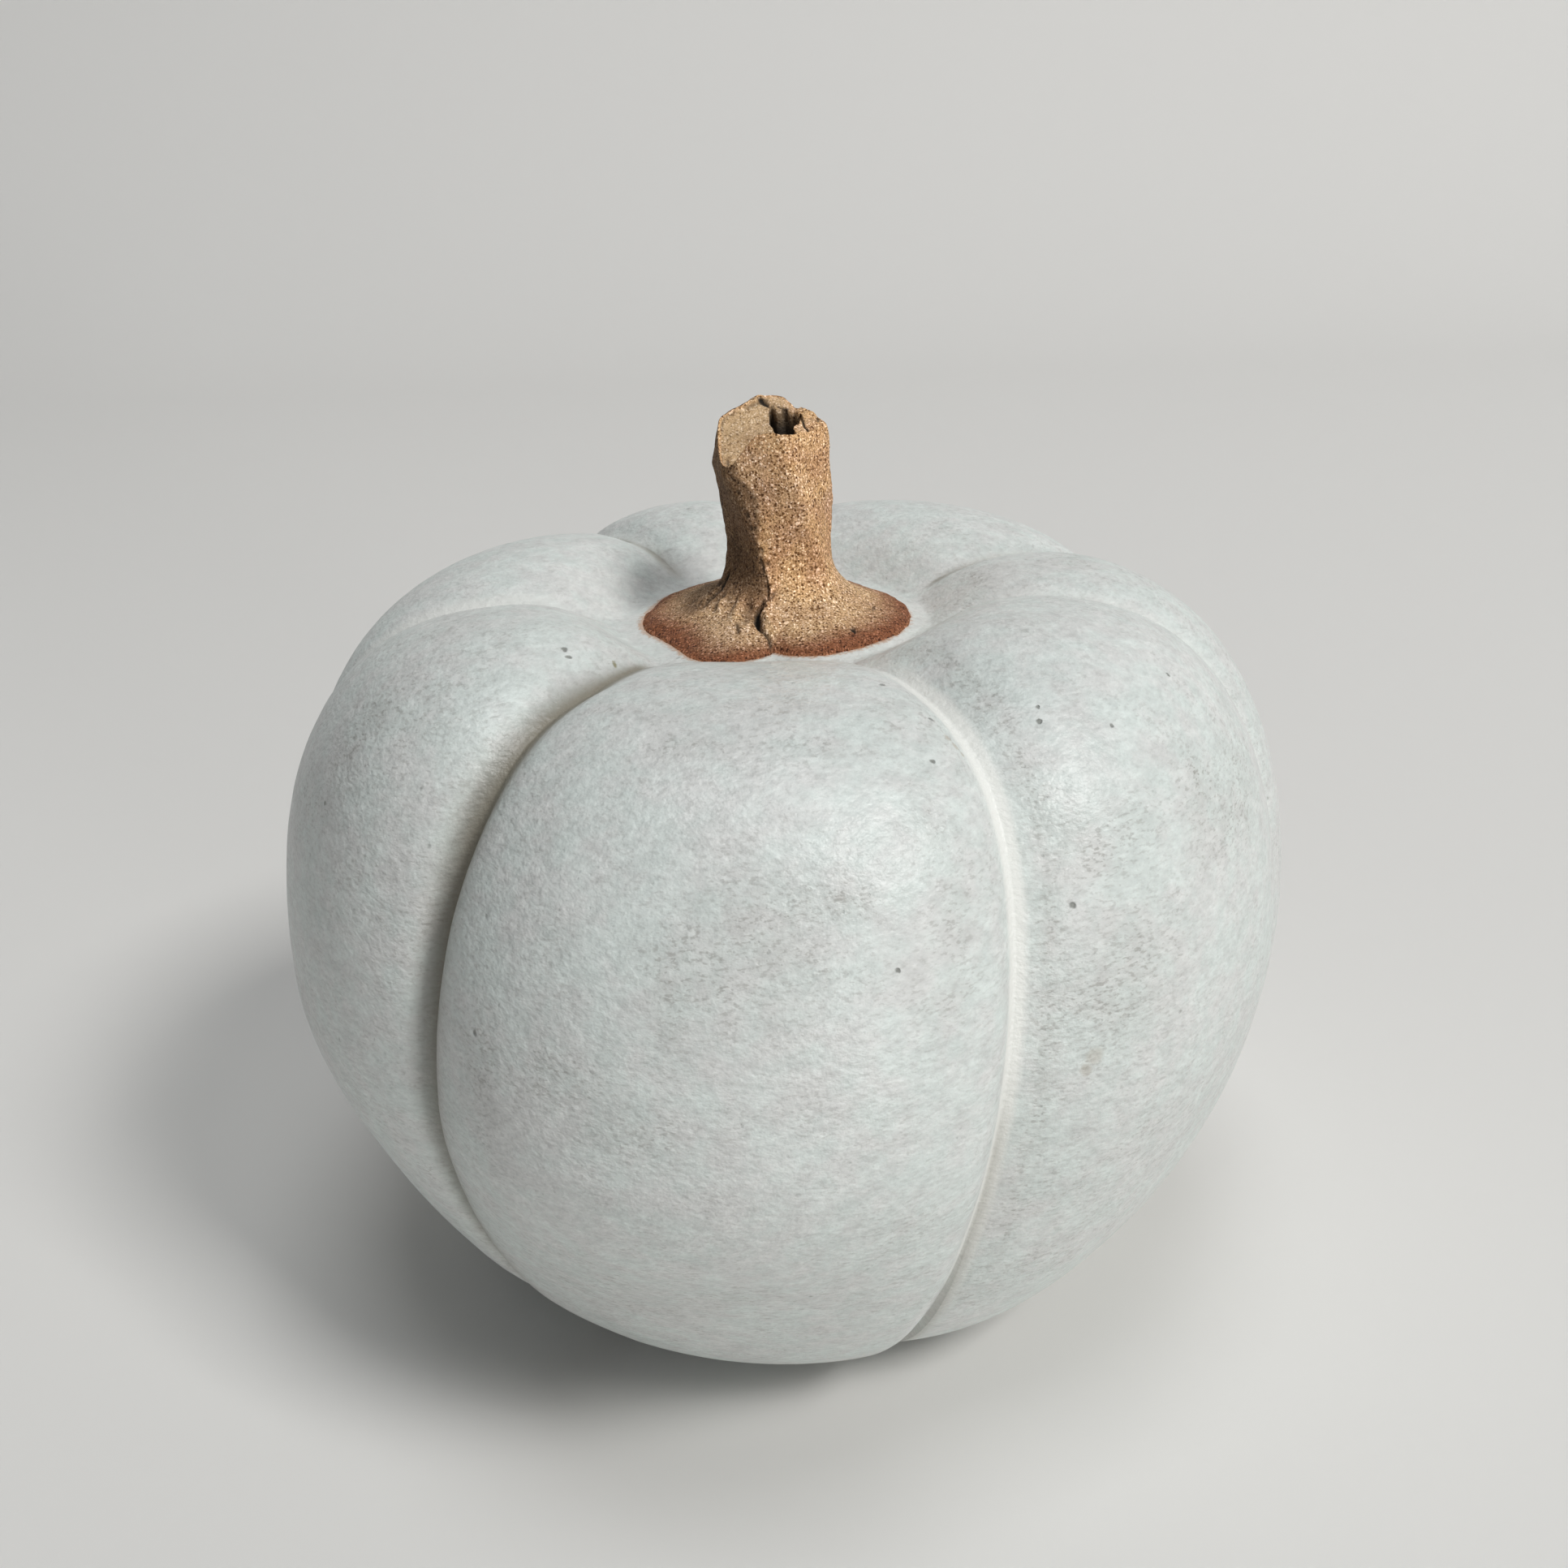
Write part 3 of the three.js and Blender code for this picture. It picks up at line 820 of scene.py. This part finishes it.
def mark_top(clay, azimuth, top, depth_in, drop, right):
    """The lines of the top and along the cut face, the lap's shadow and the slot, all as painted shade."""
    below = len(clay.points) - len(top)
    flat = np.concatenate([top[..., :2] - np.array(AXIS), 0 * top[..., :1]], -1)
    for line, *sizes in TOP_LINES:
        distance, along = line_distance(flat, np.array([(x, y, 0) for x, y in line]))
        clay.cut(rings_before(below, FAR, distance), rings_before(below, 0, along), *sizes)

    relief, dark, pale = (values[-len(top):] for values in (clay.relief, clay.dark, clay.pale))
    on_cut = (1 - right) * (np.abs(azimuth - CUT_AZIMUTH) < CUT_HALF_TURN)
    uneven = soft_noise(top, 1.6, 38)
    from_line = depth_in - CUT_LINE_FROM_RIM - 0.12 * uneven
    line = on_cut * hump(from_line, CUT_LINE_WIDTH) * smoothstep(uneven, -0.7, 0)
    relief -= CUT_LINE_DEPTH * line
    np.maximum(pale, 0.5 * on_cut * (1 - smoothstep(depth_in, 0.3, 0.5)), out=pale)
    from_shadow = depth_in - LAP_SHADOW_FROM_RIM - 0.1 * uneven
    shadow = share_between(azimuth, *LAP_SIDE) * hump(from_shadow, LAP_SHADOW_WIDTH)
    in_slot = 0.55 * smoothstep(drop, 0.02, 0.6) + 0.42 * smoothstep(drop, 0.5, 2.4)
    for darkness in (0.6 * line, 0.8 * shadow, in_slot):
        np.maximum(dark, darkness, out=dark)


def on_shaded_left_flat(azimuth, climb, points):
    """How far points are on the flat on the left, painted dark as shade, from the facet's edge round to the
    back.
    """
    edge_azimuth, edge_climb = np.array(FACET_EDGE).T
    edge = np.interp(climb, edge_climb, edge_azimuth) + 16 * smoothstep(climb, 0.6, 0.95)
    side = smoothstep(edge - azimuth, -3, 5) * smoothstep(azimuth, -175, -150)
    on_shaft = smoothstep(climb, 0.3, 0.5)
    on_flare = smoothstep(climb, 0.15, 0.3) * (1 - smoothstep(azimuth, -68, -56))
    return side * np.maximum(on_shaft, on_flare * (1 + 0.4 * soft_noise(points, 2, 39)))


def make_stem():
    turn = np.linspace(-np.pi, np.pi, STEM_COLUMNS, endpoint=False)
    azimuth = np.degrees(turn - FRONT_CROWDING * np.sin(turn))
    climb = np.linspace(0, 1, STEM_ROWS["shaft"])
    outline = spline(STEM_OUTLINE, climb)
    shaft = np.array([stem_points(azimuth, radius, height) for radius, height in outline])
    rim = np.array([rim_points(azimuth, share) for share in np.linspace(0, 1, STEM_ROWS["rim"])[1:]])
    top, depth_in, drop, right = top_points(azimuth)
    lip_radius, lip_height = STEM_OUTLINE[0]
    underside = stem_points(azimuth, lip_radius - lip_height, np.zeros(len(azimuth)))
    rings = np.concatenate([[underside], shaft, rim, top])
    first_top = 1 + len(shaft) + len(rim)

    clay = Clay(rings)
    mark_shaft(clay)
    mark_top(clay, azimuth, top, depth_in, drop, right)
    from_edge = np.linalg.norm(rings - rings[1], axis=-1)
    rough = FLARE_DEPTH * soft_noise(rings, FLARE_LUMPS, 37) * (1 - smoothstep(from_edge, 0.3, 1.6))
    relief = clay.relief + rough
    relief[0] = 0
    rings = rings + surface_normals(rings) * relief[..., None]

    climb_of_ring = np.concatenate([[0], climb, np.ones(len(rim))])
    # Painted shade on the flat on the left, the side away from the lamps
    left = on_shaded_left_flat(azimuth, climb_of_ring[:, None], rings[:first_top])
    face = (1 - right) * smoothstep(depth_in, 0.1, 0.6)
    attributes = {
        "dark": clay.dark,
        "pale": clay.pale,
        "left": np.concatenate([left, np.zeros(top.shape[:2])]),
        "face": rings_before(first_top, 0, face),
        "from_edge": from_edge,
    }
    centre = (*AXIS, STEM_BASE)
    middle = (AXIS[0] + SLOT_CENTRE[0], AXIS[1] + SLOT_CENTRE[1], top[-1, :, 2].mean())
    return closed_mesh("rolled_stem", centre, rings, middle, attributes)


# Materials

class Shader:
    """A material with a Principled surface, whose other nodes are added by short calls."""

    def __init__(self, name):
        self.material = bpy.data.materials.new(name)
        self.material.use_nodes = True
        self.tree = self.material.node_tree
        self.surface = self.tree.nodes["Principled BSDF"]
        self.place = self.node("TexCoord").outputs["Object"]
        self.colour = None

    def node(self, kind, **settings):
        node = self.tree.nodes.new("ShaderNode" + kind)
        for key, value in settings.items():
            setattr(node, key, value)
        return node

    def put(self, socket, value):
        if isinstance(value, bpy.types.NodeSocket):
            self.tree.links.new(value, socket)
        else:
            socket.default_value = value

    def attribute(self, name):
        return self.node("Attribute", attribute_name=name).outputs["Fac"]

    def math(self, operation, *values, kind="Math", output=0):
        node = self.node(kind, operation=operation)
        for socket, value in zip(node.inputs, values):
            self.put(socket, value)
        return node.outputs[output]

    def times(self, a, b, plus=None):
        return self.math("MULTIPLY", a, b) if plus is None else self.math("MULTIPLY_ADD", a, b, plus)

    def highest(self, a, b):
        return self.math("MAXIMUM", a, b)

    def rest(self, share):
        return self.math("SUBTRACT", 1, share)

    def ramp(self, value, low, high, to_low=0.0, to_high=1.0):
        """A soft ramp from to_low, where the value is low, to to_high, where it is high."""
        node = self.node("MapRange", interpolation_type="SMOOTHSTEP")
        for socket, number in zip(node.inputs, (value, low, high, to_low, to_high)):
            self.put(socket, number)
        return node.outputs[0]

    def mix(self, share, a, b, blend="MIX"):
        node = self.node("Mix", data_type="RGBA", blend_type=blend)
        self.put(node.inputs["Factor"], share)
        for socket, colour in zip((node.inputs[6], node.inputs[7]), (a, b)):
            self.put(socket, colour if isinstance(colour, bpy.types.NodeSocket) else (*colour, 1))
        return node.outputs[2]

    def stretched(self, scale, turn=(0, 0, 0)):
        """The place, turned by angles in degrees and then scaled along each axis."""
        node = self.node("Mapping")
        self.put(node.inputs["Vector"], self.place)
        node.inputs["Rotation"].default_value = [math.radians(angle) for angle in turn]
        node.inputs["Scale"].default_value = scale
        return node.outputs["Vector"]

    def texture(self, kind, size, place=None):
        node = self.node(kind)
        self.put(node.inputs["Vector"], place or self.place)
        node.inputs["Scale"].default_value = 1 / (size * MM)
        return node

    def ragged(self, size, shift):
        """The place, shifted about by noise, so that round things get uneven edges."""
        noise = self.texture("TexNoise", size)
        centred = self.math("SUBTRACT", noise.outputs["Color"], (0.5,) * 3, kind="VectorMath")
        return self.math("MULTIPLY_ADD", centred, (shift * MM,) * 3, self.place, kind="VectorMath")

    def grains(self, size, radius, share, place):
        """Grains strewn one to a cell of the given size, of which only a share is there."""
        cells = self.texture("TexVoronoi", size, place)
        value = self.node("SeparateColor")
        self.put(value.inputs["Color"], cells.outputs["Color"])
        red, green = value.outputs["Red"], value.outputs["Green"]
        edge = self.times(green, 0.5 * radius / size, 0.7 * radius / size)
        inside = self.math("SUBTRACT", edge, cells.outputs["Distance"])
        there = self.math("LESS_THAN", red, share)
        return self.times(self.ramp(inside, -0.04, 0.1), there)

    def mixed_grains(self, first, second, place):
        return self.highest(self.grains(*first, place), self.grains(*second, place))

    def spots(self, places, place):
        """Round spots, each as a point and a radius in millimetres."""
        total = None
        for point, radius in places:
            away = self.math("DISTANCE", place, point * MM, kind="VectorMath", output="Value")
            spot = self.ramp(away, 1.3 * radius * MM, 0.5 * radius * MM)
            total = spot if total is None else self.highest(total, spot)
        return total

    def noise(self, size, detail=2.0, roughness=0.5, place=None):
        """Noise from 0 to 1 with lumps of a size in millimetres."""
        node = self.texture("TexNoise", size, place)
        node.inputs["Detail"].default_value = detail
        node.inputs["Roughness"].default_value = roughness
        return node.outputs["Fac"]

    def bump(self, height, depth, normal=None):
        """Relief from a height of 0 to 1 that stands out by a depth in millimetres."""
        node = self.node("Bump")
        node.inputs["Strength"].default_value = 1
        node.inputs["Distance"].default_value = depth * MM
        self.put(node.inputs["Height"], height)
        if normal is not None:
            self.put(node.inputs["Normal"], normal)
        return node.outputs["Normal"]

    def paint(self, share, colour, blend="MIX"):
        """Lays a colour over the material's own, by a share from 0 to 1."""
        self.colour = self.mix(share, self.colour, colour, blend)

    def finished(self, roughness, reliefs=()):
        """The material, with reliefs over one another, each as a height and a depth."""
        normal = None
        for height, depth in reliefs:
            normal = self.bump(height, depth, normal)
        if normal is not None:
            self.put(self.surface.inputs["Normal"], normal)
        self.put(self.surface.inputs["Base Color"], self.colour)
        self.surface.inputs["Roughness"].default_value = roughness
        return self.material


# Marks in the glaze, each as lobe, place across it, way down it and radius
PITS = [
    (0, 0.73, 1.025, 0.35),
    (1, -0.63, 1.2, 0.27),
    (1, -0.67, 1.23, 0.3),
    (1, 0.23, 1.285, 0.27),
    (1, -0.37, 1.31, 0.24),
    (0, 0.85, 1.145, 0.34),
    (0, 0.75, 1.27, 0.34),
    (0, 0.53, 1.65, 0.3),
    (0, -0.7, 1.805, 0.36),
    (6, 0.63, 0.935, 0.36),
    (6, 0.65, 0.94, 0.28),
    (6, 0.72, 0.95, 0.4),
    (6, 0.13, 1.53, 0.3),
    (1, -0.78, 1.62, 0.34),
]
BROWN_MARKS = [(0, 0.88, 1.2, 0.5), (0, 0.9, 1.22, 0.55), (0, 0.92, 1.24, 0.4)]
STRAW_MARKS = [(6, 0.865, 0.695, 0.3), (6, 0.88, 0.7, 0.36), (6, 0.895, 0.705, 0.3)]
STAINS = [(1, -0.67, 1.925, 1.1), (1, -0.7, 1.95, 0.8)]


def on_body(marks):
    lobe, side, way, radius = np.array(marks).T
    points = body_points(lobe.astype(int), side, way, 0)
    return list(zip(points, radius))


# The glaze's mottle: sizes, and how much each darkens or lightens it
MOTTLE = [(0.4, 0.15), (0.85, 0.24), (1.9, 0.27), (4.2, 0.2)]

# Colours of the glaze, of the marks in it and of the painted shade in its grooves
GLAZE = {
    "cool": (0.70, 0.755, 0.73),
    "warm": (0.71, 0.72, 0.705),
    "pooled": (0.86, 0.865, 0.83),
    "thin": (0.42, 0.41, 0.385),
    "fleck": (0.33, 0.325, 0.3),
    # painted shade at the bottom of the grooves
    "groove_shade": (0.23, 0.205, 0.155),
    "brown": (0.33, 0.24, 0.14),
    "straw": (0.22, 0.19, 0.07),
    "stain": (0.36, 0.27, 0.18),
    "pit": (0.13, 0.135, 0.115),
    "against clay": (0.50, 0.24, 0.10),
    "bare dark": (0.36, 0.22, 0.11),
    "bare light": (0.60, 0.40, 0.22),
}
GLAZE_ROUGHNESS = 0.38
GLAZE_IOR = 1.45
PIT_DEPTH = 0.12


def glaze_material():
    glaze = Shader("satin_glaze")
    patches = glaze.times(glaze.noise(11), 0.5, glaze.times(glaze.noise(3), 0.5))
    glaze.colour = glaze.mix(glaze.ramp(patches, 0.36, 0.64), GLAZE["cool"], GLAZE["warm"])

    # A mottle that lies aslant, in four sizes
    aslant = glaze.stretched((1, 1, 1.7), (0, 35, 0))
    tone = 1 - sum(depth for size, depth in MOTTLE) / 2
    for size, depth in MOTTLE:
        tone = glaze.times(glaze.noise(size, detail=1, place=aslant), depth, tone)
    glaze.paint(1, tone, "MULTIPLY")

    # Blotches where the glaze is thin, and streaky flecks, which are many there and few elsewhere
    thin = glaze.attribute("thin")
    blotches = glaze.times(thin, glaze.ramp(glaze.noise(1.3, roughness=0.6), 0.3, 0.66, 0.35, 1))
    glaze.paint(glaze.times(blotches, 0.46), GLAZE["thin"])
    streaky = glaze.stretched((1, 1, 2.3), (0, 20, 0))
    flecks = glaze.ramp(glaze.noise(0.85, roughness=0.6, place=streaky), 0.5, 0.68)
    often = glaze.times(thin, 0.62, glaze.ramp(glaze.noise(6), 0.4, 0.7, 0.1, 0.28))
    glaze.paint(glaze.times(flecks, often), GLAZE["fleck"])

    # Glaze pools in the grooves and round the stem, pale and without mottle; in the second groove the
    # pale band is also a painted highlight
    pool_and_highlight = glaze.attribute("pool_and_highlight")
    glaze.paint(pool_and_highlight, GLAZE["pooled"])
    collar = glaze.times(glaze.attribute("collar"), 0.35)
    glaze.paint(collar, GLAZE["pooled"])
    covered = glaze.rest(glaze.highest(pool_and_highlight, collar))
    # Painted shade darkens the bottom of the grooves and runs down their creases
    glaze.paint(glaze.attribute("groove_shade"), GLAZE["groove_shade"])

    # Pinholes, some scattered and some in known places, and three kinds of mark
    uneven = glaze.ragged(0.7, 0.5)
    crowded = glaze.highest(glaze.ramp(glaze.noise(17), 0.45, 0.75, 0, 0.5), thin)
    sparse = glaze.grains(4.6, 0.24, 0.4, uneven)
    small = glaze.mixed_grains((1.1, 0.17, 0.5), (1.7, 0.22, 0.42), uneven)
    small = glaze.times(glaze.times(small, crowded), 0.55)
    holes = glaze.times(glaze.highest(sparse, small), covered)
    pits = glaze.highest(holes, glaze.spots(on_body(PITS), uneven))
    for marks, strength, kind in (
        (BROWN_MARKS, 0.45, "brown"),
        (STRAW_MARKS, 0.75, "straw"),
        (STAINS, 0.3, "stain"),
    ):
        mark = glaze.times(glaze.spots(on_body(marks), uneven), strength)
        glaze.paint(mark, GLAZE[kind])
    glaze.paint(glaze.times(pits, 0.75), GLAZE["pit"])

    # Clay stains the glaze where it thins out against the flare
    edge = glaze.times(glaze.noise(0.7, 3, 0.7), -2.2, glaze.attribute("beyond"))
    glaze.paint(glaze.ramp(edge, -1.2, -0.4, 0.7, 0.0), GLAZE["against clay"])

    # The foot and the vent's edge are bare clay
    grain = glaze.ramp(glaze.noise(0.5, roughness=0.7), 0.3, 0.7)
    grain = glaze.mix(grain, GLAZE["bare dark"], GLAZE["bare light"])
    glaze.paint(glaze.attribute("bare"), grain)

    glaze.surface.inputs["IOR"].default_value = GLAZE_IOR
    return glaze.finished(GLAZE_ROUGHNESS, (
        (glaze.noise(1.1, place=aslant), 0.17),
        (glaze.noise(0.42), 0.06),
        (glaze.rest(pits), PIT_DEPTH),
    ))


# Colours of the clay of the stem
CLAY = {
    "light": (0.68, 0.40, 0.175),
    "ruddy": (0.58, 0.315, 0.145),
    "pink": (0.60, 0.37, 0.22),
    "beige": (0.55, 0.375, 0.20),
    "fringe": (0.225, 0.07, 0.024),
    "edge": (0.40, 0.17, 0.07),
    # painted shade on the flat on the left
    "shade on the left flat": (0.165, 0.088, 0.038),
    "cut face": (0.64, 0.455, 0.26),
    "grit on the flat": (0.62, 0.45, 0.29),
    # painted shade in the cracks, chips and slot
    "shade in cracks and hollows": (0.022, 0.016, 0.01),
}

# Colours that multiply the clay's own
TINTS = {
    "dark grain": (0.45, 0.36, 0.24),
    "pale grain": (1.6, 1.75, 2.05),
    "grit": (1.8, 2.05, 2.6),
    # a painted highlight on ridges, and pale edges
    "ridge": (1.5, 1.6, 1.8),
    "hole": (0.34, 0.24, 0.13),
}
CLAY_ROUGHNESS = 0.88
HOLE_DEPTH = 0.12
GRIT_HEIGHT = 0.06


def clay_material():
    clay = Shader("bare_clay")
    from_edge = clay.attribute("from_edge")
    uneven = clay.ragged(0.35, 0.12)
    clay.colour = clay.mix(clay.ramp(clay.noise(5), 0.35, 0.65), CLAY["light"], CLAY["ruddy"])
    pink = clay.ramp(clay.noise(7, roughness=0.6), 0.5, 0.68, 0, 0.4)
    clay.paint(pink, CLAY["pink"])

    # Beige on the flare, then a red-brown fringe that fades in from a ragged edge
    beige = clay.times(clay.ramp(from_edge, 13, 9), 0.5)
    clay.paint(beige, CLAY["beige"])
    edge = clay.times(clay.noise(1.1, 3, 0.7), -3.4, from_edge)
    edge = clay.times(clay.noise(8, detail=1), -4.0, edge)
    clay.paint(clay.ramp(edge, -3.2, 2.6, 0.97, 0.0), CLAY["fringe"])
    line = clay.times(clay.noise(0.7, 3, 0.7), -1.1, from_edge)
    clay.paint(clay.ramp(line, -0.5, 0.0, 0.5, 0.0), CLAY["edge"])

    # The flat on the left is painted dark as shade, the cut face smooth and light
    left = clay.attribute("left")
    clay.paint(clay.times(left, 0.88), CLAY["shade on the left flat"])
    face = clay.attribute("face")
    clay.paint(clay.times(face, 0.7), CLAY["cut face"])

    # The clay is coarse: a fine grain, pale grit, and dark holes where grains fell out
    coarse = clay.times(face, -0.5, 1)
    grain = clay.ramp(clay.noise(0.24, roughness=0.7), 0.3, 0.7)
    grain = clay.mix(grain, TINTS["dark grain"], TINTS["pale grain"])
    clay.paint(coarse, clay.mix(1, clay.colour, grain, "MULTIPLY"))
    light = clay.mixed_grains((0.34, 0.15, 0.5), (0.6, 0.2, 0.42), uneven)
    large = clay.grains(1.5, 0.3, 0.3, uneven)
    pale = clay.times(clay.highest(light, large), coarse)
    pale = clay.times(pale, clay.times(left, -0.2, 1))
    clay.paint(pale, TINTS["grit"], "MULTIPLY")
    clay.paint(clay.times(clay.times(large, left), 0.6), CLAY["grit on the flat"])
    # Paler ridges, a painted highlight, and pale raised edges
    ridged = clay.times(clay.attribute("pale"), 0.5)
    clay.paint(ridged, TINTS["ridge"], "MULTIPLY")
    holes = clay.times(clay.mixed_grains((0.38, 0.15, 0.4), (0.8, 0.2, 0.25), uneven), coarse)
    clay.paint(holes, TINTS["hole"], "MULTIPLY")
    # Painted shade in the cracks, lines, chips and slot, and the lap's painted shadow
    clay.paint(clay.attribute("dark"), CLAY["shade in cracks and hollows"])

    return clay.finished(CLAY_ROUGHNESS, (
        (clay.noise(0.3, 3, 0.7), 0.12),
        (light, GRIT_HEIGHT),
        (clay.rest(holes), HOLE_DEPTH),
    ))


def stage_material():
    shader = Shader("pale_stage")
    shader.colour = (0.80, 0.79, 0.77, 1)
    return shader.finished(0.9)


# Stage, light and camera

def make_stage():
    half_width = 2.0
    front = -2.0
    bend = 0.75
    bend_radius = 0.5
    bend_steps = 24
    height = 1.8
    outline = [(front, 0)]
    for step in range(bend_steps + 1):
        turn = step / bend_steps * math.pi / 2
        outline.append((bend + bend_radius * math.sin(turn), bend_radius * (1 - math.cos(turn))))
    outline.append((bend + bend_radius, height))
    vertices = [(x, y, z) for y, z in outline for x in (-half_width, half_width)]
    faces = [(2 * i, 2 * i + 1, 2 * i + 3, 2 * i + 2) for i in range(len(outline) - 1)]
    mesh = bpy.data.meshes.new("backdrop")
    mesh.from_pydata(vertices, [], faces)
    mesh.shade_smooth()
    backdrop = bpy.data.objects.new("backdrop", mesh)
    bpy.context.scene.collection.objects.link(backdrop)
    mesh.materials.append(stage_material())


# Square soft lights: azimuth, elevation, size in metres, power in watts and colour
SOFTBOXES = {
    "window": (50, 47, 0.75, 46, (1, 0.99, 0.97)),
    "skylight": (20, 82, 1.3, 24, (0.97, 0.99, 1)),
    "doorway": (32, 4, 0.5, 17, (1, 0.99, 0.98)),
}
SOFTBOX_DISTANCE = 3.0
OBJECT_MIDDLE = Vector((0, 0, 0.055))
ROOM_COLOUR = (0.86, 0.93, 1)
ROOM_STRENGTH = 0.07


def make_lights():
    for name, (azimuth, elevation, size, power, colour) in SOFTBOXES.items():
        turn, climb = math.radians(azimuth), math.radians(elevation)
        way = Vector((math.cos(climb) * math.sin(turn), -math.cos(climb) * math.cos(turn), math.sin(climb)))
        light = bpy.data.lights.new(name, "AREA")
        light.size = size
        light.energy = power
        light.color = colour
        lamp = bpy.data.objects.new(name, light)
        lamp.location = OBJECT_MIDDLE + way * SOFTBOX_DISTANCE
        lamp.rotation_euler = way.to_track_quat("Z", "Y").to_euler()
        bpy.context.scene.collection.objects.link(lamp)
    world = bpy.data.worlds.new("room")
    world.use_nodes = True
    background = world.node_tree.nodes["Background"]
    background.inputs["Color"].default_value = (*ROOM_COLOUR, 1)
    background.inputs["Strength"].default_value = ROOM_STRENGTH
    bpy.context.scene.world = world
    bpy.context.scene.view_settings.view_transform = "Standard"


def make_camera():
    pitch, yaw, roll = (math.radians(angle) for angle in (CAMERA_PITCH_DOWN, CAMERA_YAW, CAMERA_ROLL))
    ahead = Vector((math.sin(yaw) * math.cos(pitch), math.cos(yaw) * math.cos(pitch), -math.sin(pitch)))
    right = Vector((math.cos(yaw), -math.sin(yaw), 0))
    down = ahead.cross(right)
    rolled_right = math.cos(roll) * right + math.sin(roll) * down
    rolled_down = math.cos(roll) * down - math.sin(roll) * right
    lens = bpy.data.cameras.new("camera")
    lens.sensor_width = SENSOR_MM
    lens.lens = FOCAL_PX / FRAME_PX * SENSOR_MM
    lens.clip_start = 0.01
    camera = bpy.data.objects.new("camera", lens)
    turn = Matrix((rolled_right, -rolled_down, -ahead)).transposed().to_4x4()
    camera.matrix_world = Matrix.Translation(Vector(CAMERA_PLACE) * MM) @ turn
    bpy.context.scene.collection.objects.link(camera)
    bpy.context.scene.camera = camera


make_camera()
make_stage()
make_lights()

body = make_body()
body.data.materials.append(glaze_material())
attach(body, "root")
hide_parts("body")

stem = make_stem()
stem.data.materials.append(clay_material())
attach(stem, "root")
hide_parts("stem")
